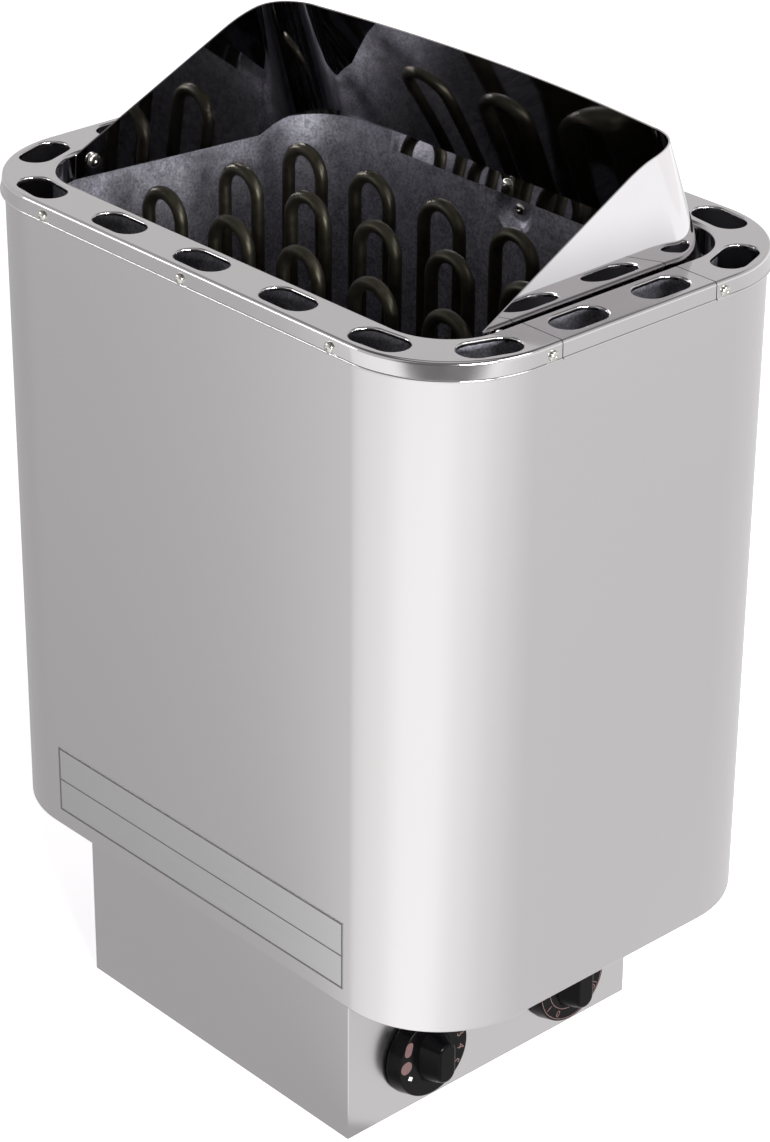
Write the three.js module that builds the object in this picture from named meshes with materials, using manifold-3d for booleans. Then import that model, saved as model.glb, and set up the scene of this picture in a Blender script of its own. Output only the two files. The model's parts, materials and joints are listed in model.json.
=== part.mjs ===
// Electric sauna heater for a wall: a stainless jacket round a stone chamber with tubular heating
// elements, on a control box with a timer and a thermostat.
// Millimetres, +Z up. The front faces -Y, the wall is at +Y and the knobs are on +X.

import * as THREE from 'three';
import { mergeVertices } from 'three/addons/utils/BufferGeometryUtils.js';
import Module from 'manifold-3d';

const wasm = await Module();
wasm.setup();

// Sheets, fits and facets
const SHEET = 1;
const HEAVY_SHEET = 1.5;
const FIT = 0.3;
const OVERCUT = 1;
const MERGE_DISTANCE = 1e-4;
const CORNER_STEPS = 3;
const HOLE_STEPS = 3;
const SLOT_STEPS = 2;
const ROUND_SIDES = 12;
const SMALL_SIDES = 8;
const KNOB_SIDES = 32;
const HEX_SIDES = 6;

// Jacket
const BODY_WIDTH = 410;
const BODY_DEPTH = 286;
const BODY_CORNER = 68;
const JACKET_HEIGHT = 412;
const JACKET_LIP = 8;

// Control box
const BOX_WIDTH = 240;
const BOX_DEPTH = 232;
const BOX_HEIGHT = 108;
const BOX_CENTRE_Y = -12;
const BOX_FLANGE = 12;
const COVER_PLAY = 0.4;

// Rim
const RIM_RISE = 2;
const RIM_SKIRT = 11;
const RIM_TOP_WIDTH = 30;
const RIM_FLANGE = 16.7;
const RIM_OPENING_CORNER = 38;
const RIM_SEGMENT_LENGTH = 117;
const RIM_SEAM = 0.6;
const AIR_HOLE_LENGTH = 36.5;
const AIR_HOLE_WIDTH = 20.4;
const FRONT_HOLES = 5;
const FRONT_HOLE_INSET = 62;
const SIDE_HOLES = 4;
const SIDE_HOLE_INSET = 50;

// Steam deflector
const DEFLECTOR_SIDE_GAP = 1.6;
const DEFLECTOR_BACK_GAP = 9.5;
const DEFLECTOR_BASE_CORNER = 33;
const DEFLECTOR_TOP_CORNER = 28;
const DEFLECTOR_SIDE_LEAN = 7.5;
const DEFLECTOR_BACK_LEAN = 26.1;
const DEFLECTOR_BOW = 9.5;
const DEFLECTOR_RISE = 64;
const DEFLECTOR_DROP = 15.5;
const DEFLECTOR_FOOT_DIP = 7;
const DEFLECTOR_BACK_LIFT = 6;
const DEFLECTOR_RELIEF = 11;
const DEFLECTOR_TAB_WIDTH = 200;
const DEFLECTOR_TAB_DEPTH = 12;
const DEFLECTOR_TAB_TILT = THREE.MathUtils.degToRad(8);
const DEFLECTOR_TIP_INSET = 61;
const DEFLECTOR_RAKE = THREE.MathUtils.degToRad(26.3);
const DEFLECTOR_EDGE_BLEND = 16;
const DEFLECTOR_BEND_STEPS = 7;
const DEFLECTOR_BACK_STEPS = 8;
const DEFLECTOR_SIDE_STEPS = 8;
const DEFLECTOR_SCREW_FROM_TIP = 12;
const DEFLECTOR_SCREW_DROP = 6;
const SCREW_SHANK = 4;
const SCREW_HEAD = 9;
const SCREW_HEAD_HEIGHT = 2.4;
const SCREW_HEAD_EDGE = 0.8;
const SCREW_CROWN = 4.5;
const SCREW_END = 2;
const SCREW_COLLAR = 8;

// Stone chamber and its stay
const CHAMBER_FOOT = 10;
const DIMPLE_MOUTH = 32;
const DIMPLE_FLOOR = 15;
const DIMPLE_DEPTH = 8;
const DIMPLE_DROP = 37;
const DIMPLE_X = -6;
const STAY_DIAMETER = 12;

// Base plate and grate
const AIR_SLOT_LENGTH = 60;
const AIR_SLOT_WIDTH = 12;
const AIR_SLOT_GAP = 10;
const INLET_SLOT_LENGTH = 40;
const INLET_SLOTS = 3;
const INLET_SLOT_PITCH = 60;
const GRATE_HEIGHT = 40;
const GRATE_PLAY = 0.8;
const GRATE_ELEMENT_PLAY = 0.6;
const GRATE_SLOT_LENGTH = 64;
const GRATE_SLOT_WIDTH = 9;
const GRATE_SLOT_COLUMNS = 4;
const GRATE_SLOT_PITCH = 80;

// Heating elements
const ELEMENT_DIAMETER = 8;
const ELEMENT_LOOPS = 5;
const ELEMENT_TOP_DROP = 15;
const ELEMENT_SIDE_CLEARANCE = 40;
const FRONT_ROW_CLEARANCE = 55;
const BACK_ROW_CLEARANCE = 63;
const ELEMENT_RUN_RISE = 19;
const ELEMENT_LOOP_RISE = 18;
const ELEMENT_STEPS = 3;
const ELEMENT_SIDES = 4;
const TERMINAL_INSET = 45;
const TERMINAL_DROP = 22;
const BUSH_THREAD = 14;
const BUSH_HEAD_ACROSS = 20;
const BUSH_HEAD_HEIGHT = 7;
const BUSH_LENGTH = 12;
const NUT_ACROSS = 21;
const NUT_HEIGHT = 6;

// Timer, thermostat and knobs
const KNOB_Z = 39;
const TIMER_Y = -70;
const THERMOSTAT_Y = 46;
const TIMER_BODY = { width: 50, height: 50, depth: 42, corner: 6 };
const THERMOSTAT_BODY = { width: 40, height: 36, depth: 34, corner: 4 };
const SHAFT_DIAMETER = 6;
const SHAFT_INSERTION = 20;
const CONTROL_BUSH = 10;
const KNOB_DIAMETER = 62;
const KNOB_SKIRT = 10;
const KNOB_CHAMFER = 1.6;
const KNOB_WALL_GAP = 1.5;
const KNOB_BORE = 12;
const GRIP_LENGTH = 50;
const GRIP_WIDTH = 19;
const GRIP_HEIGHT = 12;
const GRIP_ROUND = 2.5;
const GRIP_ROUND_STEPS = 2;

// Limiter, terminals, sensors and cable gland
const LIMITER = { width: 38, depth: 38, height: 30, corner: 4, x: -52, y: -62 };
const BUTTON_DIAMETER = 7;
const BUTTON_RECESS = 0.6;
const BUTTON_LENGTH = 13;
const BUTTON_TRAVEL = 3;
const TERMINAL_BLOCK = { width: 24, length: 96, height: 34, y: 10, z: 45 };
const TERMINAL_POLES = 5;
const TERMINAL_GROOVE = 3;
const TERMINAL_GROOVE_DEPTH = 8;
const CAPILLARY_DIAMETER = 2.4;
const CAPILLARY_BEND = 8;
const CAPILLARY_HOLE = 3.2;
const CAPILLARY_SIDES = 3;
const THERMOSTAT_SENSOR_X = 96;
const LIMITER_SENSOR_X = -38;
const THERMOSTAT_CAPILLARY_Z = 84;
const LIMITER_CAPILLARY_Z = 88;
const BULB_DIAMETER = 6;
const BULB_LENGTH = 80;
const BULB_RISE = 190;
const GLAND_Z = 46;
const GLAND_THREAD = 20;
const GLAND_BORE = 13;
const GLAND_FLANGE = 30;
const GLAND_FLANGE_LENGTH = 7;
const GLAND_DOME = 26;
const GLAND_DOME_LENGTH = 17;
const GLAND_DOME_ROUND = 5;
const GLAND_THREAD_LENGTH = 9;
const LOCKNUT_ACROSS = 28;
const LOCKNUT_HEIGHT = 5;

// Wall bracket
const BRACKET_WIDTH = 180;
const BRACKET_HEIGHT = 260;
const BRACKET_DEPTH = 20;
const BRACKET_SHEET = 2;
const BRACKET_TOP_DROP = 70;
const HOOK_WIDTH = 24;
const HOOK_SPACING = 120;
const HOOK_REACH = 6;
const HOOK_LIP = 16;
const HOOK_FROM_TOP = 20;
const HOOK_SLOT_PLAY = 1;
const WALL_HOLE_WIDTH = 6;
const WALL_HOLE_LENGTH = 14;
const WALL_HOLE_SPACING_X = 110;
const WALL_HOLE_SPACING_Z = 180;

// Levels and half sizes that follow from the sizes above
const jacketBottom = BOX_HEIGHT;
const jacketTop = jacketBottom + JACKET_HEIGHT;
const rimTop = jacketTop + RIM_RISE;
const rimFlangeBottom = rimTop - RIM_FLANGE;
const basePlateBottom = jacketBottom + SHEET + FIT;
const basePlateTop = basePlateBottom + HEAVY_SHEET;
const boxTop = basePlateBottom - FIT;
const standBottom = basePlateTop + FIT;
const grateTop = standBottom + GRATE_HEIGHT;
const bodyHalfX = BODY_WIDTH / 2;
const bodyHalfY = BODY_DEPTH / 2;
const rimOuterX = bodyHalfX + FIT + SHEET;
const rimOuterY = bodyHalfY + FIT + SHEET;
const rimOuterCorner = BODY_CORNER + FIT + SHEET;
const openingX = bodyHalfX - RIM_TOP_WIDTH;
const openingY = bodyHalfY - RIM_TOP_WIDTH;
const flangeOuterX = openingX + SHEET;
const flangeOuterY = openingY + SHEET;
const rimWidth = rimOuterX - openingX;
const chamberInnerX = flangeOuterX + FIT;
const chamberInnerY = flangeOuterY + FIT;
const chamberInnerCorner = RIM_OPENING_CORNER + SHEET + FIT;
const chamberOuterX = chamberInnerX + SHEET;
const chamberOuterY = chamberInnerY + SHEET;
const boxHalfX = BOX_WIDTH / 2;
const boxHalfY = BOX_DEPTH / 2;
const boxBackY = BOX_CENTRE_Y + boxHalfY;
const airGapX = (chamberOuterX + bodyHalfX - SHEET - JACKET_LIP) / 2;
const airGapY = (chamberOuterY + bodyHalfY - SHEET - JACKET_LIP) / 2;
const elementLegs = 2 * ELEMENT_LOOPS;
const outerLegX = openingX - ELEMENT_SIDE_CLEARANCE;
const legPitch = (2 * outerLegX) / (elementLegs - 1);
const terminalX = boxHalfX - TERMINAL_INSET;
const elementRows = {
  front: -openingY + FRONT_ROW_CLEARANCE,
  middle: 0,
  back: openingY - BACK_ROW_CLEARANCE,
};
const terminalSides = { left: -terminalX, right: terminalX };
const wallFaceY = bodyHalfY + FIT + BRACKET_DEPTH;
const hookZ = jacketTop - BRACKET_TOP_DROP - HOOK_FROM_TOP;

// Finishes
const SATIN_STAINLESS = { color: 0xb9b7b8, roughness: 0.32, metalness: 1 };
const POLISHED_STAINLESS = { color: 0xc9c6c6, roughness: 0.12, metalness: 1 };
const MIRROR_STAINLESS = { color: 0xd2d0d2, roughness: 0.04, metalness: 1 };
const GALVANISED = { color: 0x83868f, roughness: 0.45, metalness: 1 };
const ELEMENT_STEEL = { color: 0x2b281f, roughness: 0.42, metalness: 0.9 };
const NICKEL_BRASS = { color: 0xb7ad93, roughness: 0.3, metalness: 1 };
const BLACK_PLASTIC = { color: 0x0d0c0d, roughness: 0.3, metalness: 0 };
const GREY_PLASTIC = { color: 0x4c4e50, roughness: 0.55, metalness: 0 };
const RED_PLASTIC = { color: 0xa32a22, roughness: 0.4, metalness: 0 };
const CERAMIC = { color: 0xe3ddd0, roughness: 0.35, metalness: 0 };
const COPPER = { color: 0xa8643f, roughness: 0.35, metalness: 1 };

// A closed geometry as a solid that can be joined and cut
function toSolid(geometry) {
  const plain = geometry.clone();
  plain.deleteAttribute('normal');
  plain.deleteAttribute('uv');
  const merged = mergeVertices(plain, MERGE_DISTANCE);
  const vertProperties = new Float32Array(merged.attributes.position.array);
  const triVerts = new Uint32Array(merged.index.array);
  return new wasm.Manifold(new wasm.Mesh({ numProp: 3, vertProperties, triVerts }));
}

function toGeometry(solid) {
  const mesh = solid.getMesh();
  const geometry = new THREE.BufferGeometry();
  geometry.setAttribute('position', new THREE.BufferAttribute(mesh.vertProperties, 3));
  geometry.setIndex(new THREE.BufferAttribute(mesh.triVerts, 1));
  geometry.computeVertexNormals();
  return geometry;
}

function joined(...geometries) {
  return toGeometry(geometries.map(toSolid).reduce((whole, next) => whole.add(next)));
}

function cutBy(geometry, tools) {
  return toGeometry(tools.map(toSolid).reduce((whole, tool) => whole.subtract(tool), toSolid(geometry)));
}

function common(geometry, tool) {
  return toGeometry(toSolid(geometry).intersect(toSolid(tool)));
}

// Outlines
function roundedRectangle(halfX, halfY, corner, outline = new THREE.Shape()) {
  const right = halfX - corner;
  const back = halfY - corner;
  const quarter = Math.PI / 2;
  outline.moveTo(halfX, -back);
  outline.lineTo(halfX, back);
  outline.absarc(right, back, corner, 0, quarter);
  outline.lineTo(-right, halfY);
  outline.absarc(-right, back, corner, quarter, 2 * quarter);
  outline.lineTo(-halfX, -back);
  outline.absarc(-right, -back, corner, 2 * quarter, 3 * quarter);
  outline.lineTo(right, -halfY);
  outline.absarc(right, -back, corner, 3 * quarter, 4 * quarter);
  return outline;
}

function roundedRing(halfX, halfY, corner, width) {
  const ring = roundedRectangle(halfX, halfY, corner);
  const innerCorner = corner - width;
  ring.holes.push(roundedRectangle(halfX - width, halfY - width, innerCorner, new THREE.Path()));
  return ring;
}

function rectangle(halfX, halfY) {
  const outline = new THREE.Shape();
  outline.moveTo(-halfX, -halfY);
  outline.lineTo(halfX, -halfY);
  outline.lineTo(halfX, halfY);
  outline.lineTo(-halfX, halfY);
  outline.closePath();
  return outline;
}

function rectangleRing(halfX, halfY, width) {
  const ring = rectangle(halfX, halfY);
  ring.holes.push(rectangle(halfX - width, halfY - width));
  return ring;
}

// An oblong with round ends, its length along X
function oblong(length, width) {
  const outline = new THREE.Shape();
  const reach = (length - width) / 2;
  outline.absarc(reach, 0, width / 2, -Math.PI / 2, Math.PI / 2);
  outline.absarc(-reach, 0, width / 2, Math.PI / 2, 1.5 * Math.PI);
  return outline;
}

function circle(diameter) {
  return new THREE.Shape().absarc(0, 0, diameter / 2, 0, 2 * Math.PI);
}

function slab(outline, bottom, top, curveSegments = CORNER_STEPS) {
  const depth = top - bottom;
  const geometry = new THREE.ExtrudeGeometry(outline, { depth, bevelEnabled: false, curveSegments });
  return geometry.translate(0, 0, bottom);
}

function block(from, to) {
  const size = new THREE.Vector3().subVectors(to, from);
  const centre = new THREE.Vector3().addVectors(from, to).multiplyScalar(0.5);
  return new THREE.BoxGeometry(size.x, size.y, size.z).translate(centre.x, centre.y, centre.z);
}

function upright(diameter, bottom, top, sides = ROUND_SIDES) {
  const radius = diameter / 2;
  const height = top - bottom;
  const cylinder = new THREE.CylinderGeometry(radius, radius, height, sides).rotateX(Math.PI / 2);
  return cylinder.translate(0, 0, bottom + height / 2);
}

// A hexagon across its flats, with two flats facing along Y
function hexagon(across, bottom, top) {
  const corners = across / Math.cos(Math.PI / HEX_SIDES);
  return upright(corners, bottom, top, HEX_SIDES);
}

function turned(profile, sides = ROUND_SIDES) {
  const points = profile.map(([radius, along]) => new THREE.Vector2(radius, along));
  return new THREE.LatheGeometry(points, sides);
}

// Points a piece made along +Z towards +X, and one towards +Y
function alongX(geometry) {
  return geometry.rotateY(Math.PI / 2);
}

function alongY(geometry) {
  return geometry.rotateX(-Math.PI / 2);
}

// A route of straight runs and round bends, with stations only where it bends
class BentRoute extends THREE.Curve {
  constructor(corners, bendRadius, bendSteps) {
    super();
    this.stations = [];
    corners.forEach((corner, index) => {
      if (index === 0 || index === corners.length - 1) {
        const other = index === 0 ? corners[1] : corners[index - 1];
        const tangent = new THREE.Vector3().subVectors(other, corner).normalize();
        this.stations.push({ point: corner, tangent: index === 0 ? tangent : tangent.negate() });
        return;
      }
      this.addBend(corners[index - 1], corner, corners[index + 1], bendRadius, bendSteps);
    });
  }

  addBend(before, corner, after, radius, steps) {
    const into = new THREE.Vector3().subVectors(corner, before).normalize();
    const out = new THREE.Vector3().subVectors(after, corner).normalize();
    const turn = into.angleTo(out);
    const start = corner.clone().addScaledVector(into, -radius * Math.tan(turn / 2));
    const side = out.clone().addScaledVector(into, -into.dot(out)).normalize();
    for (let step = 0; step <= steps; step += 1) {
      const angle = (turn * step) / steps;
      const point = start.clone();
      point.addScaledVector(into, radius * Math.sin(angle));
      point.addScaledVector(side, radius * (1 - Math.cos(angle)));
      const tangent = into.clone().multiplyScalar(Math.cos(angle)).addScaledVector(side, Math.sin(angle));
      const last = this.stations.at(-1);
      if (last.point.distanceTo(point) > FIT) {
        this.stations.push({ point, tangent });
      }
    }
  }

  get steps() {
    return this.stations.length - 1;
  }

  getPointAt(fraction) {
    return this.stations[Math.round(fraction * this.steps)].point.clone();
  }

  getTangentAt(fraction) {
    return this.stations[Math.round(fraction * this.steps)].tangent.clone();
  }
}

function bentTube(route, diameter, curveSegments) {
  const along = { extrudePath: route, steps: route.steps, curveSegments };
  return new THREE.ExtrudeGeometry(circle(diameter), along);
}

// A sheet of even thickness over a row of stations, each a pair of lower and upper edge points
function sheetOver(stations, thickness) {
  const last = stations.length - 1;
  const positions = stations.flatMap((station, index) => {
    const before = stations[Math.max(index - 1, 0)];
    const after = stations[Math.min(index + 1, last)];
    const rise = new THREE.Vector3().subVectors(station.upper, station.lower);
    return ['lower', 'upper'].flatMap((edge) => {
      const along = new THREE.Vector3().subVectors(after[edge], before[edge]);
      const offset = along.cross(rise).setLength(thickness / 2);
      const outer = station[edge].clone().add(offset);
      const inner = station[edge].clone().sub(offset);
      return [...outer.toArray(), ...inner.toArray()];
    });
  });
  const cornersOf = (station) => {
    const names = ['lowOuter', 'lowInner', 'highOuter', 'highInner'];
    return Object.fromEntries(names.map((name, place) => [name, station * names.length + place]));
  };
  const indices = [];
  const quad = (a, b, c, d) => indices.push(a, b, c, a, c, d);
  for (let station = 0; station < last; station += 1) {
    const here = cornersOf(station);
    const next = cornersOf(station + 1);
    quad(here.lowOuter, next.lowOuter, next.highOuter, here.highOuter);
    quad(next.lowInner, here.lowInner, here.highInner, next.highInner);
    quad(here.lowInner, next.lowInner, next.lowOuter, here.lowOuter);
    quad(here.highOuter, next.highOuter, next.highInner, here.highInner);
  }
  const start = cornersOf(0);
  const end = cornersOf(last);
  quad(start.lowOuter, start.highOuter, start.highInner, start.lowInner);
  quad(end.lowOuter, end.lowInner, end.highInner, end.highOuter);
  const geometry = new THREE.BufferGeometry();
  geometry.setAttribute('position', new THREE.Float32BufferAttribute(positions, 3));
  geometry.setIndex(indices);
  return geometry;
}

// Even places about a centre
function spread(count, pitch) {
  return Array.from({ length: count }, (unused, index) => (index - (count - 1) / 2) * pitch);
}

const heater = new THREE.Group();

function addPiece(name, geometry, finish) {
  const mesh = new THREE.Mesh(geometry, new THREE.MeshStandardMaterial(finish));
  mesh.name = name;
  heater.add(mesh);
}

// Outer jacket: a wrapped sheet with a lip folded in at the bottom and two slots for the hooks
function outerJacket() {
  const ring = (width) => roundedRing(bodyHalfX, bodyHalfY, BODY_CORNER, width);
  const wrap = slab(ring(SHEET), jacketBottom, jacketTop);
  const lip = slab(ring(SHEET + JACKET_LIP), jacketBottom, jacketBottom + SHEET);
  const slotTop = hookZ + BRACKET_SHEET + FIT;
  const slotHalf = HOOK_WIDTH / 2 + HOOK_SLOT_PLAY;
  const slots = spread(2, HOOK_SPACING).map((x) => block(
    new THREE.Vector3(x - slotHalf, bodyHalfY - SHEET - OVERCUT, slotTop - HOOK_LIP - 2 * BRACKET_SHEET),
    new THREE.Vector3(x + slotHalf, bodyHalfY + OVERCUT, slotTop),
  ));
  return cutBy(joined(wrap, lip), slots);
}

// A place on the rim's middle line, straight along a side and then round its corner
function onRimLine(along, straight, out) {
  const radius = RIM_OPENING_CORNER + rimWidth / 2;
  const beyond = Math.sign(along) * Math.max(Math.abs(along) - straight, 0);
  const turn = beyond / radius;
  return {
    run: along - beyond + radius * Math.sin(turn),
    out: out - radius * (1 - Math.cos(turn)),
    turn,
  };
}

// The whole rim before it is parted: top, skirt and flange, with its ring of air holes
function wholeRim() {
  const top = roundedRectangle(rimOuterX, rimOuterY, rimOuterCorner);
  top.holes.push(roundedRectangle(openingX, openingY, RIM_OPENING_CORNER, new THREE.Path()));
  const skirt = roundedRing(rimOuterX, rimOuterY, rimOuterCorner, SHEET);
  const flange = roundedRing(flangeOuterX, flangeOuterY, RIM_OPENING_CORNER + SHEET, SHEET);
  const ring = joined(
    slab(top, rimTop - SHEET, rimTop),
    slab(skirt, rimTop - RIM_SKIRT, rimTop),
    slab(flange, rimFlangeBottom, rimTop),
  );
  const frontPitch = (2 * (bodyHalfX - FRONT_HOLE_INSET)) / (FRONT_HOLES - 1);
  const sidePitch = (2 * (bodyHalfY - SIDE_HOLE_INSET)) / (SIDE_HOLES - 1);
  const airHole = oblong(AIR_HOLE_LENGTH, AIR_HOLE_WIDTH);
  const punch = () => slab(airHole, rimTop - SHEET - OVERCUT, rimTop + OVERCUT, HOLE_STEPS);
  const holes = [];
  spread(FRONT_HOLES, frontPitch).forEach((along) => {
    const { run, out, turn } = onRimLine(along, openingX - RIM_OPENING_CORNER, openingY + rimWidth / 2);
    holes.push(punch().rotateZ(turn).translate(run, -out, 0));
    holes.push(punch().rotateZ(-turn).translate(run, out, 0));
  });
  spread(SIDE_HOLES, sidePitch).forEach((along) => {
    const { run, out, turn } = onRimLine(along, openingY - RIM_OPENING_CORNER, openingX + rimWidth / 2);
    holes.push(punch().rotateZ(Math.PI / 2 + turn).translate(out, run, 0));
    holes.push(punch().rotateZ(Math.PI / 2 - turn).translate(-out, run, 0));
  });
  return cutBy(ring, [...holes, deflectorScrewHoles()]);
}

function rimParting(length) {
  const half = length / 2;
  return block(
    new THREE.Vector3(openingX - OVERCUT, -half, rimFlangeBottom - OVERCUT),
    new THREE.Vector3(rimOuterX + OVERCUT, half, rimTop + OVERCUT),
  );
}

// Steam deflector: a sheet bent round the back of the opening, leaning in as it rises
const deflectorBottom = rimTop - DEFLECTOR_DROP;
const deflectorTop = rimTop + DEFLECTOR_RISE;
const deflectorTipY = -bodyHalfY + DEFLECTOR_TIP_INSET;
const deflectorScrewY = deflectorTipY + DEFLECTOR_SCREW_FROM_TIP;
const deflectorScrewZ = rimTop - DEFLECTOR_SCREW_DROP;
const deflectorHalf = openingX - DEFLECTOR_SIDE_GAP - SHEET / 2;
const deflectorBack = openingY - DEFLECTOR_BACK_GAP - SHEET / 2;
const footBendY = deflectorBack - DEFLECTOR_BASE_CORNER;
const reliefStartY = footBendY - DEFLECTOR_RELIEF;
const topBack = deflectorBack - DEFLECTOR_BACK_LEAN;
const topBendY = topBack - DEFLECTOR_TOP_CORNER;

// One drill through both sides of the sheet, of the rim's flange and of the chamber
function deflectorScrewHoles() {
  const reach = chamberOuterX + OVERCUT;
  const drill = alongX(upright(SCREW_SHANK + 2 * FIT, -reach, reach, SMALL_SIDES));
  return drill.translate(0, deflectorScrewY, deflectorScrewZ);
}

// Height of the upper edge: the rake that rises from the tip, blended into the level top
function deflectorEdge(y) {
  const rake = rimTop + (y - deflectorTipY) * Math.tan(DEFLECTOR_RAKE);
  const nearness = Math.max(1 - Math.abs(rake - deflectorTop) / DEFLECTOR_EDGE_BLEND, 0);
  return Math.min(rake, deflectorTop) - (DEFLECTOR_EDGE_BLEND * nearness ** 2) / 4;
}

// Lift of the lower edge past the end of a side, where it rises in a relief round the bend
function footLift(past) {
  const share = past / (DEFLECTOR_RELIEF + (DEFLECTOR_BASE_CORNER * Math.PI) / 2);
  return (DEFLECTOR_FOOT_DIP + DEFLECTOR_BACK_LIFT) * share * (2 - share) - DEFLECTOR_FOOT_DIP;
}

function deflectorStation({ base, top, lift }) {
  const lowerZ = deflectorBottom + lift;
  const upperZ = deflectorEdge(top.y);
  const share = (upperZ - lowerZ) / (deflectorTop - lowerZ);
  return {
    lower: new THREE.Vector3(base.x, base.y, lowerZ),
    upper: new THREE.Vector3().lerpVectors(base, top, share).setZ(upperZ),
  };
}

function steamDeflector() {
  const topHalf = deflectorHalf - DEFLECTOR_SIDE_LEAN;
  const baseBackHalf = deflectorHalf - DEFLECTOR_BASE_CORNER;
  const topBackHalf = topHalf - DEFLECTOR_TOP_CORNER;
  const half = [];
  const addSide = (footY, topY, lift) => half.push({
    base: new THREE.Vector3(deflectorHalf, footY, 0),
    top: new THREE.Vector3(topHalf, topY, 0),
    lift,
  });
  for (let step = 0; step < DEFLECTOR_SIDE_STEPS; step += 1) {
    const y = THREE.MathUtils.lerp(deflectorTipY, topBendY, step / DEFLECTOR_SIDE_STEPS);
    const share = (y - deflectorTipY) / (reliefStartY - deflectorTipY);
    addSide(y, y, -DEFLECTOR_FOOT_DIP * share);
  }
  addSide(reliefStartY, topBendY, footLift(0));
  for (let step = 0; step < DEFLECTOR_BEND_STEPS; step += 1) {
    const angle = ((Math.PI / 2) * step) / DEFLECTOR_BEND_STEPS;
    const round = (reach, start, radius) => new THREE.Vector3(
      reach + radius * Math.cos(angle),
      start + radius * Math.sin(angle),
      0,
    );
    half.push({
      base: round(baseBackHalf, footBendY, DEFLECTOR_BASE_CORNER),
      top: round(topBackHalf, topBendY, DEFLECTOR_TOP_CORNER),
      lift: footLift(DEFLECTOR_RELIEF + DEFLECTOR_BASE_CORNER * angle),
    });
  }
  for (let step = 0; step <= DEFLECTOR_BACK_STEPS / 2; step += 1) {
    const out = 1 - (2 * step) / DEFLECTOR_BACK_STEPS;
    const bow = DEFLECTOR_BOW * (1 - out * out);
    half.push({
      base: new THREE.Vector3(baseBackHalf * out, deflectorBack, 0),
      top: new THREE.Vector3(topBackHalf * out, topBack + bow, 0),
      lift: DEFLECTOR_BACK_LIFT,
    });
  }
  const across = (point) => point.clone().setX(-point.x);
  const otherHalf = half.slice(0, -1).reverse().map(({ base, top, lift }) => (
    { base: across(base), top: across(top), lift }
  ));
  const sheet = sheetOver([...half, ...otherHalf].map(deflectorStation), SHEET);
  return cutBy(joined(sheet, deflectorTab()), [deflectorScrewHoles()]);
}

// The tab under the back of the deflector, turned down and a little forwards
function deflectorTab() {
  const half = DEFLECTOR_TAB_WIDTH / 2;
  const tab = block(
    new THREE.Vector3(-half, -SHEET / 2, -DEFLECTOR_TAB_DEPTH),
    new THREE.Vector3(half, SHEET / 2, SHEET / 2),
  );
  return tab.rotateX(-DEFLECTOR_TAB_TILT).translate(0, deflectorBack, deflectorBottom + DEFLECTOR_BACK_LIFT);
}

// A round-headed screw with a collar, which holds the deflector off the flange of the rim
function deflectorScrew(side) {
  const leanSlope = DEFLECTOR_SIDE_LEAN / (deflectorTop - deflectorBottom);
  const wall = deflectorHalf - leanSlope * (deflectorScrewZ - deflectorBottom);
  const clear = SHEET / 2 + FIT + (leanSlope * SCREW_HEAD) / 2;
  const inner = wall - clear;
  const collarStart = wall + clear;
  const collarEnd = openingX - FIT;
  const shank = SCREW_SHANK / 2;
  const screw = turned([
    [0, inner - SCREW_HEAD_HEIGHT],
    [SCREW_CROWN / 2, inner - SCREW_HEAD_HEIGHT],
    [SCREW_HEAD / 2, inner - SCREW_HEAD_EDGE],
    [SCREW_HEAD / 2, inner],
    [shank, inner],
    [shank, collarStart],
    [SCREW_COLLAR / 2, collarStart],
    [SCREW_COLLAR / 2, collarEnd],
    [shank, collarEnd],
    [shank, flangeOuterX + SCREW_END],
    [0, flangeOuterX + SCREW_END],
  ], SMALL_SIDES);
  return screw.rotateZ(-side * Math.PI / 2).translate(0, deflectorScrewY, deflectorScrewZ);
}

// Stone chamber: a rounded galvanised shell round the rim's flange, on a folded foot, with a dimple
// in its back wall
const chamberTop = rimTop - SHEET - FIT;
const dimpleZ = rimTop - DIMPLE_DROP;

function dimpleCone(mouth, floor, depth, start) {
  const cone = new THREE.CylinderGeometry(floor / 2, mouth / 2, depth, ROUND_SIDES);
  return cone.translate(DIMPLE_X, start + depth / 2, dimpleZ);
}

function stoneChamber() {
  const ring = (width) => roundedRing(chamberOuterX, chamberOuterY, chamberInnerCorner + SHEET, width);
  const shell = slab(ring(SHEET), standBottom, chamberTop);
  const foot = slab(ring(SHEET + CHAMBER_FOOT), standBottom, standBottom + SHEET);
  const wall = 2 * SHEET;
  const outside = dimpleCone(DIMPLE_MOUTH + wall, DIMPLE_FLOOR + wall, DIMPLE_DEPTH, chamberOuterY);
  const inside = dimpleCone(DIMPLE_MOUTH, DIMPLE_FLOOR, DIMPLE_DEPTH, chamberInnerY);
  const mouth = dimpleCone(DIMPLE_MOUTH, DIMPLE_MOUTH, OVERCUT, chamberInnerY - OVERCUT);
  return cutBy(joined(shell, foot, outside), [inside, mouth, deflectorScrewHoles()]);
}

function chamberStay() {
  const start = chamberOuterY + DIMPLE_DEPTH + FIT;
  const end = bodyHalfY - SHEET - FIT;
  return alongY(upright(STAY_DIAMETER, start, end)).translate(DIMPLE_X, 0, dimpleZ);
}

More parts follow.
